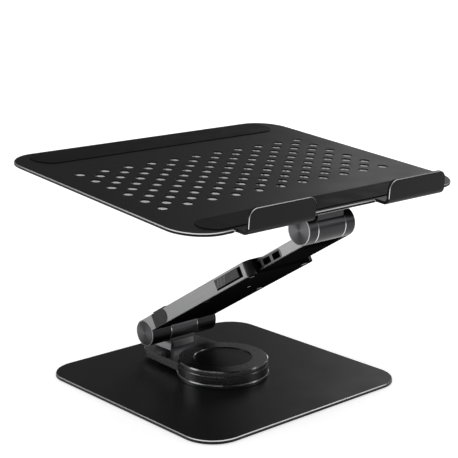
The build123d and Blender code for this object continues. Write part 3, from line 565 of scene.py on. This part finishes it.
def coated_tray(name, colour, edge, wall):
    """Powder coat with a bare outline and bare edges on the lips, in a light colour that also paints their
    highlights, and light metal walls in the vent holes that paint the light on them.
    """
    material, tree, shader = new_material(name, 0.0, 0.12)
    middle, half_size, corner = tray_outline()
    grain = use_grain(tree, COAT_GRAIN, (0.42, 0.50))
    place = use_group(tree, "tray_place",
                      {"Middle": tuple(middle), "Tilt": TRAY_BACK.angle(Vector((0, 1, 0))),
                       "Half Size": tuple(half_size), "Corner": corner}).outputs
    on_outline = maths(tree, "MULTIPLY", lean_mask(tree, TRAY_NORMAL), place["Rim"])
    on_lip = maths(tree, "MULTIPLY", lean_mask(tree, TRAY_BACK), place["Lip"])
    on_wall = maths(tree, "MULTIPLY", lean_mask(tree, TRAY_NORMAL, SIDE_ON), place["Deep"])
    # The outline and the lips' edges take the light edge colour: bare cut metal and a painted edge highlight.
    bright = maths(tree, "ADD", on_outline, on_lip, clamp=True)
    bare = maths(tree, "ADD", bright, on_wall, clamp=True)
    with_edges = blend_colours(tree, bright, varied(tree, grain["Mottle"], colour, 0.2), edge)
    # The vent holes' walls take the light wall colour: a painted highlight of their lit walls.
    fill(tree, shader, {"Base Color": blend_colours(tree, on_wall, with_edges, wall),
                        "Metallic": bare,
                        "Roughness": smoother(tree, grain["Roughness"], bare, 0.14),
                        "Normal": grain["Normal"]})
    return material


def anodised_metal(name, colour, edge, edge_axis, roughness=(0.28, 0.36)):
    """Satin anodised aluminium: blasted grain, faint drawn lines, and chamfers in a lighter edge colour that
    paints their highlights.
    """
    material, tree, shader = new_material(name, 1.0)
    grain = use_grain(tree, BLASTED_GRAIN, roughness)
    edges = lean_mask(tree, edge_axis)
    body = varied(tree, use_lines(tree, DRAWN_STRETCH, DRAWN_SCALE), colour, 0.14)
    # The chamfers take the lighter edge colour, which paints their highlights.
    fill(tree, shader, {"Base Color": blend_colours(tree, edges, body, edge),
                        "Roughness": smoother(tree, grain["Roughness"], edges, 0.1),
                        "Normal": grain["Normal"]})
    return material


def two_tone_arm(name, side_colour, barrel_colour, edge, centre, radius, half_width):
    """The arm's own finish: light satin flanks, a dark barrel round the hinge, and black elsewhere, with painted
    shade on sunk faces and painted highlights on the rounded corners and the long edges.
    """
    material, tree, shader = new_material(name, 1.0, 0.0)
    grain = use_grain(tree, BLASTED_GRAIN, (0.30, 0.38))
    lines = use_lines(tree, DRAWN_STRETCH, DRAWN_SCALE, ARM_LIE)
    reach = maths(tree, "ABSOLUTE", split(tree, object_place(tree))["X"])
    face = maths(tree, "GREATER_THAN", reach, half_width - FLANK_DEPTH)
    track_floor = maths(tree, "GREATER_THAN", reach, half_width - TRACK_DEPTH)
    # The outer face is as light as the flanks get, and the floor of the sunk track is half as light as painted
    # shade in the recess; faces sunk deeper stay dark, also painted shade.
    outermost = maths(tree, "MULTIPLY", maths(tree, "ADD", face, track_floor), 0.5)
    flanks = maths(tree, "MULTIPLY", lean_mask(tree, SIDEWAYS, FACING), outermost)
    barrel = use_group(tree, "near_axis", {"Centre": tuple(centre), "Radius": radius}).outputs["Mask"]
    rounded = lean_mask(tree, SIDEWAYS, ROUNDED)
    corner = maths(tree, "MULTIPLY", rounded, lean_mask(tree, ACROSS_ARM, SIDE_ON))
    black = shade(barrel_colour, BLACKED)
    # The rounded corners take a lighter metal copy of the barrel colour: a painted highlight.
    plain = blend_colours(tree, corner, black, shade(barrel_colour, CORNER_GLEAM))
    dark = blend_colours(tree, barrel, plain, varied(tree, lines, barrel_colour, 0.14))
    body = blend_colours(tree, flanks, dark, varied(tree, lines, side_colour, 0.1))
    # The long edges away from the barrel take the light edge colour: bare cut metal and a painted edge highlight.
    lengthways = lean_mask(tree, UP_THE_ARM, SIDE_ON)
    long_edges = maths(tree, "MULTIPLY", lean_mask(tree, SIDEWAYS), lengthways)
    bright = maths(tree, "MULTIPLY", long_edges, maths(tree, "SUBTRACT", 1.0, barrel))
    bare = maths(tree, "ADD", maths(tree, "ADD", bright, flanks), barrel)
    fill(tree, shader, {"Base Color": blend_colours(tree, bright, body, edge),
                        "Metallic": maths(tree, "ADD", bare, corner, clamp=True),
                        "Roughness": grain["Roughness"], "Normal": grain["Normal"]})
    return material


def spun_metal(name, colour, centre, rim, rim_colour):
    """A disc faced on a lathe: fine rings about its centre, a bow-tie sheen painted into its colour, and a rim in
    the light edge colour as a painted highlight.
    """
    material, tree, shader = new_material(name, 1.0)
    spun = use_group(tree, "near_axis", {"Centre": tuple(centre), "Radius": rim}).outputs
    ring = maths(tree, "SINE", maths(tree, "MULTIPLY", spun["Distance"], 2 * pi / LATHE_PITCH))
    relief = node(tree, "ShaderNodeBump", None,
                  {"Height": ring, "Strength": 0.12, "Distance": 0.02 * MM})
    # The bow-tie sheen is painted into the colour, lighter and darker by turns round the axis.
    bow = maths(tree, "MULTIPLY", spun["Bow"], BOW_SHARE)
    rings = maths(tree, "MULTIPLY", maths(tree, "MULTIPLY_ADD", ring, 0.5, 0.5), 1 - BOW_SHARE)
    tone = varied(tree, maths(tree, "ADD", bow, rings), colour, 0.55)
    tangent = node(tree, "ShaderNodeTangent", {"direction_type": "RADIAL", "axis": "X"})
    fill(tree, shader, {"Base Color": blend_colours(tree, spun["Mask"], rim_colour, tone),
                        "Roughness": use_grain(tree, LATHE_GRAIN, (0.28, 0.34))["Roughness"],
                        "Normal": relief.outputs["Normal"], "Anisotropic": 0.7,
                        "Tangent": tangent.outputs["Tangent"]})
    return material


def turned_steel(name, colour):
    """Bright or blackened steel with faint turning marks."""
    material, tree, shader = new_material(name, 1.0)
    grain = use_grain(tree, STEEL_GRAIN, (0.22, 0.32))
    tone = varied(tree, use_lines(tree, TURNED_STRETCH, TURNED_SCALE), colour, 0.2)
    fill(tree, shader, {"Base Color": tone, "Roughness": grain["Roughness"],
                        "Normal": grain["Normal"]})
    return material


def moulded_polymer(name, colour, skin, specular=0.4):
    """Moulded rubber or plastic: a pebbled skin over a fine grain."""
    material, tree, shader = new_material(name, 0.0, specular)
    roughness, depth = skin
    pebbles = node(tree, "ShaderNodeTexVoronoi", None,
                   {"Vector": object_place(tree), "Scale": 1 / PEBBLE_PITCH})
    grain = use_grain(tree, (*MOULDED_SCALES, depth), roughness)
    relief = node(tree, "ShaderNodeBump", None,
                  {"Height": pebbles.outputs["Distance"], "Strength": depth, "Distance": 0.05 * MM,
                   "Normal": grain["Normal"]})
    tone = blend_colours(tree, grain["Mottle"], shade(colour, 0.8), shade(colour, 1.25))
    fill(tree, shader, {"Base Color": tone, "Roughness": grain["Roughness"],
                        "Normal": relief.outputs["Normal"]})
    return material


def dress(material, *names):
    """Gives CAD nodes their finish through their own material slots."""
    for name in names:
        slots = frame["nodes"][name].data.materials
        slots.clear()
        slots.append(material)


# ---- Geometry trees ----


def round_bar(tree, path, width, sides):
    """A round bar with closed ends along a path."""
    profile = node(tree, "GeometryNodeCurvePrimitiveCircle", None,
                   {"Resolution": sides, "Radius": maths(tree, "MULTIPLY", width, 0.5)})
    bar = node(tree, "GeometryNodeCurveToMesh", None,
               {"Curve": path, "Profile Curve": profile.outputs["Curve"], "Fill Caps": True})
    return bar.outputs["Mesh"]


def raised(tree, shape, height):
    """A shape moved along Z."""
    moved = node(tree, "GeometryNodeTransform", None,
                 {"Geometry": shape, "Translation": vector(tree, Z=height)})
    return moved.outputs["Geometry"]


def end_tree(tree, result, shape, material):
    """Ends a geometry tree as real faces of one material."""
    solid = node(tree, "GeometryNodeRealizeInstances", None, {"Geometry": shape})
    painted = node(tree, "GeometryNodeSetMaterial", None,
                   {"Geometry": solid.outputs["Geometry"], "Material": material})
    fill(tree, result, {"Geometry": painted.outputs["Geometry"]})
    return tree


def make_rib_tree(material):
    """A row of round ribs along X, slanted and cut to the height of the grip."""
    tree, given, result = new_group(
        "grip_ribs", "GeometryNodeTree",
        [("Length", "NodeSocketFloat", 0.02), ("Height", "NodeSocketFloat", 0.005),
         ("Pitch", "NodeSocketFloat", 0.002), ("Width", "NodeSocketFloat", 0.001),
         ("Slant", "NodeSocketFloat", 0.5)],
        [("Geometry", "NodeSocketGeometry")],
    )
    sizes = given.outputs
    sway = maths(tree, "MULTIPLY", sizes["Height"], maths(tree, "TANGENT", sizes["Slant"]))
    usable = maths(tree, "SUBTRACT", sizes["Length"], sway)
    count = maths(tree, "FLOOR", maths(tree, "DIVIDE", usable, sizes["Pitch"]))
    row = node(tree, "GeometryNodeMeshLine", None,
               {"Count": count, "Offset": vector(tree, X=sizes["Pitch"])})
    reach = maths(tree, "DIVIDE", sizes["Height"],
                  maths(tree, "MULTIPLY", 2.0, maths(tree, "COSINE", sizes["Slant"])))
    spine = node(tree, "GeometryNodeCurvePrimitiveLine", None,
                 {"Start": vector(tree, Y=opposite(tree, reach)), "End": vector(tree, Y=reach)})
    bar = round_bar(tree, spine.outputs["Curve"], sizes["Width"], 12)
    ribs = node(tree, "GeometryNodeInstanceOnPoints", None,
                {"Points": row.outputs["Mesh"], "Instance": bar,
                 "Rotation": vector(tree, Z=opposite(tree, sizes["Slant"]))})
    return end_tree(tree, result, ribs.outputs["Instances"], material)


def make_screw_tree(material):
    """Countersunk screws with hexagon sockets, on a grid of two rows. Heads face +Z."""
    tree, given, result = new_group(
        "countersunk_screws", "GeometryNodeTree",
        [("Span", "NodeSocketFloat", 0.1), ("Width", "NodeSocketFloat", 0.05),
         ("Columns", "NodeSocketInt", 3), ("Head Radius", "NodeSocketFloat", 0.003),
         ("Shank Radius", "NodeSocketFloat", 0.0015), ("Drive Radius", "NodeSocketFloat", 0.001),
         ("Length", "NodeSocketFloat", 0.006)],
        [("Geometry", "NodeSocketGeometry")],
    )
    sizes = given.outputs
    head_height = maths(tree, "SUBTRACT", sizes["Head Radius"], sizes["Shank Radius"])
    head = node(tree, "GeometryNodeMeshCone", None,
                {"Vertices": 32, "Radius Top": sizes["Head Radius"],
                 "Radius Bottom": sizes["Shank Radius"], "Depth": head_height})
    drive = node(tree, "GeometryNodeMeshCylinder", None,
                 {"Vertices": 6, "Radius": sizes["Drive Radius"],
                  "Depth": maths(tree, "MULTIPLY", head_height, DRIVE_DEPTH)})
    drilled = node(tree, "GeometryNodeMeshBoolean", {"operation": "DIFFERENCE", "solver": "EXACT"},
                   {"Mesh 1": raised(tree, head.outputs["Mesh"], opposite(tree, head_height)),
                    "Mesh 2": drive.outputs["Mesh"]})
    shank = node(tree, "GeometryNodeMeshCone", None,
                 {"Vertices": 24, "Radius Top": sizes["Shank Radius"],
                  "Radius Bottom": maths(tree, "MULTIPLY", sizes["Shank Radius"], SHANK_TAPER),
                  "Depth": maths(tree, "SUBTRACT", sizes["Length"], head_height)})
    shank_set = raised(tree, shank.outputs["Mesh"], opposite(tree, sizes["Length"]))
    screw = node(tree, "GeometryNodeJoinGeometry")
    for part in (drilled.outputs["Mesh"], shank_set):
        tree.links.new(part, screw.inputs["Geometry"])
    seats = node(tree, "GeometryNodeMeshGrid", None,
                 {"Size X": sizes["Span"], "Size Y": sizes["Width"],
                  "Vertices X": sizes["Columns"], "Vertices Y": 2})
    screws = node(tree, "GeometryNodeInstanceOnPoints", None,
                  {"Points": seats.outputs["Mesh"], "Instance": screw.outputs["Geometry"]})
    return end_tree(tree, result, screws.outputs["Instances"], material)


def make_spring_tree(material):
    """A coil of round wire that climbs along Z."""
    tree, given, result = new_group(
        "coil_spring", "GeometryNodeTree",
        [("Turns", "NodeSocketFloat", 10.0), ("Coil Radius", "NodeSocketFloat", 0.0014),
         ("Wire", "NodeSocketFloat", 0.0005), ("Length", "NodeSocketFloat", 0.014)],
        [("Geometry", "NodeSocketGeometry")],
    )
    sizes = given.outputs
    coil = node(tree, "GeometryNodeCurveSpiral", None,
                {"Resolution": 20, "Rotations": sizes["Turns"], "Start Radius": sizes["Coil Radius"],
                 "End Radius": sizes["Coil Radius"], "Height": sizes["Length"]})
    wire = round_bar(tree, coil.outputs["Curve"], sizes["Wire"], 10)
    return end_tree(tree, result, wire, material)


# ---- Operators ----


class STAND_OT_finish_base(bpy.types.Operator):
    """Coat the base plate and finish the swivel's rings"""

    bl_idname = "stand.finish_base"
    bl_label = "Finish base and swivel"

    def execute(self, context):
        colours = context.scene.stand_colours
        dress(coated_metal("coated_base", colours.coat, colours.cut_edge_highlight, UPRIGHT), "base_plate")
        ring = anodised_metal("swivel_alloy", shade(colours.dark_alloy, 2.1), colours.soft_edge,
                              UPRIGHT, roughness=(0.24, 0.30))
        dress(ring, "swivel_flange", "turntable", "clamp_ring")
        cap = anodised_metal("cap_alloy", shade(colours.dark_alloy, 0.4), colours.cut_edge_highlight, UPRIGHT)
        dress(cap, "centre_cap")
        dress(moulded_polymer("base_rubber", colours.rubber, BASE_PAD_SKIN), "base_pad")
        dress(turned_steel("black_screws", colours.black_steel), "base_screws", "clamp_screws")
        dress(moulded_polymer("slip_nylon", colours.nylon, NYLON_SKIN), "lower_slip_washer",
              "upper_slip_washer")
        return {"FINISHED"}


class STAND_OT_finish_hinges(bpy.types.Operator):
    """Finish the brackets, pins, washers, nuts, bushes and end caps of both hinges"""

    bl_idname = "stand.finish_hinges"
    bl_label = "Finish hinges"

    def execute(self, context):
        colours = context.scene.stand_colours
        dark = shade(colours.dark_alloy, 0.8)
        bracket = anodised_metal("bracket_alloy", dark, colours.cut_edge_highlight, SIDEWAYS)
        dress(bracket, "lower_bracket", "lower_hinge_washers", "upper_hinge_washers")
        tray_bracket = anodised_metal("tray_bracket_alloy", colours.barrel, colours.soft_edge, SIDEWAYS)
        dress(tray_bracket, "tray_bracket")
        dress(anodised_metal("plate_alloy", colours.alloy, colours.cut_edge_highlight, SIDEWAYS), "bracket_plate")
        dress(turned_steel("pin_steel", colours.steel), "lower_hinge_pin", "upper_hinge_pin", "stop_pin")
        dress(turned_steel("black_hardware", colours.black_steel), "lower_hinge_nuts",
              "upper_hinge_nuts", "bracket_screws", "tray_screws")
        dress(moulded_polymer("bush_nylon", colours.nylon, NYLON_SKIN), "lower_hinge_bushes",
              "upper_hinge_bushes")
        for prefix, centre in (("lower", LOWER_AXIS), ("upper", UPPER_AXIS)):
            low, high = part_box(f"{prefix}_end_cap_left")
            rim = (high.z - low.z) / 2 - CAP_RIM
            cap = spun_metal(f"{prefix}_cap_alloy", shade(colours.dark_alloy, 0.55), centre, rim,
                             colours.cut_edge_highlight)
            dress(cap, f"{prefix}_end_cap_left", f"{prefix}_end_cap_right")
        return {"FINISHED"}


class STAND_OT_finish_arm(bpy.types.Operator):
    """Finish the housing, the inner arm, the cover and the lock"""

    bl_idname = "stand.finish_arm"
    bl_label = "Finish arm"

    def execute(self, context):
        colours = context.scene.stand_colours
        low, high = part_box("lower_end_cap_left")
        barrel = (high.z - low.z) / 2 + BARREL_MARGIN
        for name, node_name, colour, centre in (
                ("housing_alloy", "arm_housing", colours.alloy, LOWER_AXIS),
                ("inner_arm_alloy", "inner_arm", shade(colours.alloy, 1.15), UPPER_AXIS)):
            dress(two_tone_arm(name, colour, colours.barrel, colours.cut_edge_highlight, centre, barrel,
                               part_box(node_name)[1].x), node_name)
        black = shade(colours.barrel, BLACKED)
        dress(coated_metal("cover_coat", black, colours.barrel, SIDEWAYS, specular=0.0), "housing_cover")
        dress(moulded_polymer("lock_plastic", colours.plastic, PLASTIC_SKIN), "lock_slider", "lock_pawl")
        dress(moulded_polymer("glide_nylon", colours.nylon, NYLON_SKIN), "arm_glides")
        return {"FINISHED"}


class STAND_OT_finish_tray(bpy.types.Operator):
    """Coat the tray and finish its silicone strips"""

    bl_idname = "stand.finish_tray"
    bl_label = "Finish tray"

    def execute(self, context):
        colours = context.scene.stand_colours
        dress(coated_tray("coated_tray", colours.coat, colours.cut_edge_highlight, colours.hole_wall_highlight), "tray")
        strips = moulded_polymer("strip_silicone", colours.rubber, STRIP_SKIN, specular=0.08)
        dress(strips, "front_pad", "back_pad")
        return {"FINISHED"}


class STAND_OT_grip_ribs(bpy.types.Operator):
    """Raise the slanted ribs of the lock slider's grip"""

    bl_idname = "stand.grip_ribs"
    bl_label = "Slider grip ribs"

    def execute(self, context):
        sizes = context.scene.stand_sizes
        face = -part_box("lock_slider")[0].x
        along = arm_span("lock_slider", UP_THE_ARM)
        across = arm_span("lock_slider", ACROSS_ARM)
        height = across[1] - across[0] - GRIP_MARGINS
        start = along[0] + GRIP_START + height / 2 * tan(sizes.rib_slant) + sizes.rib_width / 2
        middle = sum(across) / 2
        # Lighter plastic on the ribs: a painted highlight.
        material = moulded_polymer("rib_highlight_plastic", context.scene.stand_colours.rib, PLASTIC_SKIN)
        values = {"Length": sizes.grip_length, "Height": height, "Pitch": sizes.rib_pitch,
                  "Width": sizes.rib_width, "Slant": sizes.rib_slant}
        grown_piece("slider_grip_ribs", make_rib_tree(material), values,
                    arm_matrix(start, middle, face), "slider")
        return {"FINISHED"}


class STAND_OT_cover_screws(bpy.types.Operator):
    """Fit the six screws that hold the housing's cover"""

    bl_idname = "stand.cover_screws"
    bl_label = "Cover screws"

    def execute(self, context):
        sizes = context.scene.stand_sizes
        colours = context.scene.stand_colours
        along = arm_span("cover_screws", UP_THE_ARM)
        across = arm_span("cover_screws", ACROSS_ARM)
        low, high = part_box("cover_screws")
        head = sizes.screw_head
        span = along[1] - along[0] - 2 * head
        width = high.x - low.x - 2 * head
        lie = Matrix.Rotation(pi / 2, 4, "X")
        seat = arm_matrix(sum(along) / 2, across[0] + SCREW_SINK, 0) @ lie
        values = {"Span": span, "Width": width, "Columns": 3, "Head Radius": head,
                  "Shank Radius": sizes.screw_shank, "Drive Radius": sizes.screw_drive,
                  "Length": sizes.screw_length}
        material = turned_steel("cover_screw_steel", colours.black_steel)
        screws = grown_piece("housing_cover_screws", make_screw_tree(material), values, seat,
                             "lower_arm")
        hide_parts("cover_screws")
        return {"FINISHED"}


class STAND_OT_lock_spring(bpy.types.Operator):
    """Wind the spring behind the lock slider"""

    bl_idname = "stand.lock_spring"
    bl_label = "Lock spring"

    def execute(self, context):
        sizes = context.scene.stand_sizes
        colours = context.scene.stand_colours
        along = arm_span("lock_spring", UP_THE_ARM)
        across = arm_span("lock_spring", ACROSS_ARM)
        left = arm_span("lock_spring", TO_THE_LEFT)
        coil_radius = (left[1] - left[0]) / 2 - sizes.spring_wire / 2
        length = along[1] - along[0] - sizes.spring_wire
        climb = Matrix.Rotation(pi / 2, 4, "Y")
        seat = arm_matrix(along[0] + sizes.spring_wire / 2, sum(across) / 2, sum(left) / 2) @ climb
        values = {"Turns": float(sizes.spring_turns), "Coil Radius": coil_radius,
                  "Wire": sizes.spring_wire, "Length": length}
        material = turned_steel("spring_steel", colours.steel)
        spring = grown_piece("lock_coil_spring", make_spring_tree(material), values, seat,
                             "lower_arm")
        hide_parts("lock_spring")
        return {"FINISHED"}


class STAND_OT_bumper_band(bpy.types.Operator):
    """Mould the rubber band that the folded tray rests on, with its edges rounded"""

    bl_idname = "stand.bumper_band"
    bl_label = "Bumper band"

    def execute(self, context):
        sizes = context.scene.stand_sizes
        colours = context.scene.stand_colours
        band = bpy.data.objects.new("rubber_bumper_band", frame["nodes"]["arm_bumper"].data.copy())
        context.scene.collection.objects.link(band)
        shape = bmesh.new()
        shape.from_mesh(band.data)
        bmesh.ops.remove_doubles(shape, verts=shape.verts, dist=SAME_POINT)
        bmesh.ops.dissolve_limit(shape, angle_limit=FLAT_ANGLE, verts=shape.verts, edges=shape.edges)
        sharp = [edge for edge in shape.edges
                 if len(edge.link_faces) == 2 and edge.calc_face_angle() > SHARP_ANGLE]
        bmesh.ops.bevel(shape, geom=sharp, offset=sizes.soft_edge, segments=3, profile=0.5,
                        affect="EDGES", clamp_overlap=True)
        shape.to_mesh(band.data)
        shape.free()
        band.data.materials.clear()
        rubber = moulded_polymer("bumper_rubber", shade(colours.rubber, 3.4), BAND_SKIN)
        band.data.materials.append(rubber)
        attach(band, "lower_arm")
        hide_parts("arm_bumper")
        return {"FINISHED"}


def area_light(name, azimuth, elevation, distance, size, power, aim):
    """A soft panel that stands round the object and faces it."""
    back = Vector((cos(azimuth) * cos(elevation), sin(azimuth) * cos(elevation), sin(elevation)))
    light = bpy.data.lights.new(name, "AREA")
    light.shape = "RECTANGLE"
    light.size, light.size_y = size
    light.energy = power
    panel = bpy.data.objects.new(name, light)
    bpy.context.scene.collection.objects.link(panel)
    panel.location = aim + back * distance
    panel.rotation_euler = back.to_track_quat("Z", "Y").to_euler()


class STAND_OT_studio(bpy.types.Operator):
    """Set the floor, the soft lights and the camera"""

    bl_idname = "stand.studio"
    bl_label = "Studio"

    def execute(self, context):
        studio = context.scene.stand_studio
        self.floor(context, studio)
        self.lights(context, studio)
        self.camera(context, studio)
        context.scene.view_settings.view_transform = "Standard"
        return {"FINISHED"}

    def floor(self, context, studio):
        mesh = bpy.data.meshes.new("studio_floor")
        turns = ((-1, -1), (1, -1), (1, 1), (-1, 1))
        corners = [(x * FLOOR_HALF, y * FLOOR_HALF, 0) for x, y in turns]
        mesh.from_pydata(corners, [], [(0, 1, 2, 3)])
        floor = bpy.data.objects.new("studio_floor", mesh)
        context.scene.collection.objects.link(floor)
        material, tree, shader = new_material("floor_paper", 0.0, 0.0)
        grain = use_grain(tree, PAPER_GRAIN, (0.9, 0.95))
        fill(tree, shader, {"Base Color": blend_colours(tree, grain["Mottle"], *PAPER),
                            "Roughness": grain["Roughness"], "Emission Color": WHITE,
                            "Emission Strength": studio.floor_glow})
        mesh.materials.append(material)

    def lights(self, context, studio):
        world = bpy.data.worlds.new("studio_room")
        world.use_nodes = True
        tree = world.node_tree
        # The camera sees white past the floor's edge, and everything else is lit by the dim room.
        rays = node(tree, "ShaderNodeLightPath")
        strength = maths(tree, "MAXIMUM", rays.outputs["Is Camera Ray"], studio.sky)
        fill(tree, tree.nodes["Background"], {"Color": WHITE, "Strength": strength})
        context.scene.world = world
        sun = bpy.data.lights.new("overhead_cloth", "SUN")
        sun.energy = studio.overhead
        sun.angle = SUN_ANGLE
        cloth = bpy.data.objects.new("overhead_cloth", sun)
        context.scene.collection.objects.link(cloth)
        cloth.location = (0, 0, SUN_HEIGHT)
        for name, azimuth, elevation, distance, size, power in PANELS:
            area_light(name, radians(azimuth), radians(elevation), distance, size, power, LIGHT_AIM)

    def camera(self, context, studio):
        data = bpy.data.cameras.new("studio_camera")
        data.sensor_width = SENSOR_WIDTH
        data.lens = data.sensor_width / 2 / tan(studio.field / 2)
        data.clip_start, data.clip_end = 0.05, 60.0
        camera = bpy.data.objects.new("studio_camera", data)
        context.scene.collection.objects.link(camera)
        level = cos(studio.elevation)
        back = Vector((sin(studio.azimuth) * level, -cos(studio.azimuth) * level, sin(studio.elevation)))
        camera.location = Vector(studio.aim) + back * studio.distance
        camera.rotation_euler = (-back).to_track_quat("-Z", "Y").to_euler()
        context.scene.camera = camera


OPERATORS = (
    STAND_OT_finish_base,
    STAND_OT_finish_hinges,
    STAND_OT_finish_arm,
    STAND_OT_finish_tray,
    STAND_OT_grip_ribs,
    STAND_OT_cover_screws,
    STAND_OT_lock_spring,
    STAND_OT_bumper_band,
    STAND_OT_studio,
)


class STAND_PT_maker(bpy.types.Panel):
    """The stand's steps, in the order they are made"""

    bl_idname = "STAND_PT_maker"
    bl_label = "Laptop stand"
    bl_space_type = "VIEW_3D"
    bl_region_type = "UI"
    bl_category = "Stand"

    def draw(self, context):
        for step in OPERATORS:
            self.layout.operator(step.bl_idname)


GROUPS = (StandColours, StandSizes, StudioSettings)


def register():
    for kind in (*GROUPS, *OPERATORS, STAND_PT_maker):
        bpy.utils.register_class(kind)
    bpy.types.Scene.stand_colours = PointerProperty(type=StandColours)
    bpy.types.Scene.stand_sizes = PointerProperty(type=StandSizes)
    bpy.types.Scene.stand_studio = PointerProperty(type=StudioSettings)


def unregister():
    del bpy.types.Scene.stand_studio
    del bpy.types.Scene.stand_sizes
    del bpy.types.Scene.stand_colours
    for kind in reversed((*GROUPS, *OPERATORS, STAND_PT_maker)):
        bpy.utils.unregister_class(kind)


def main():
    """Makes every piece in order."""
    register()
    for step in OPERATORS:
        group, name = step.bl_idname.split(".")
        getattr(getattr(bpy.ops, group), name)()


if __name__ == "__main__":
    main()
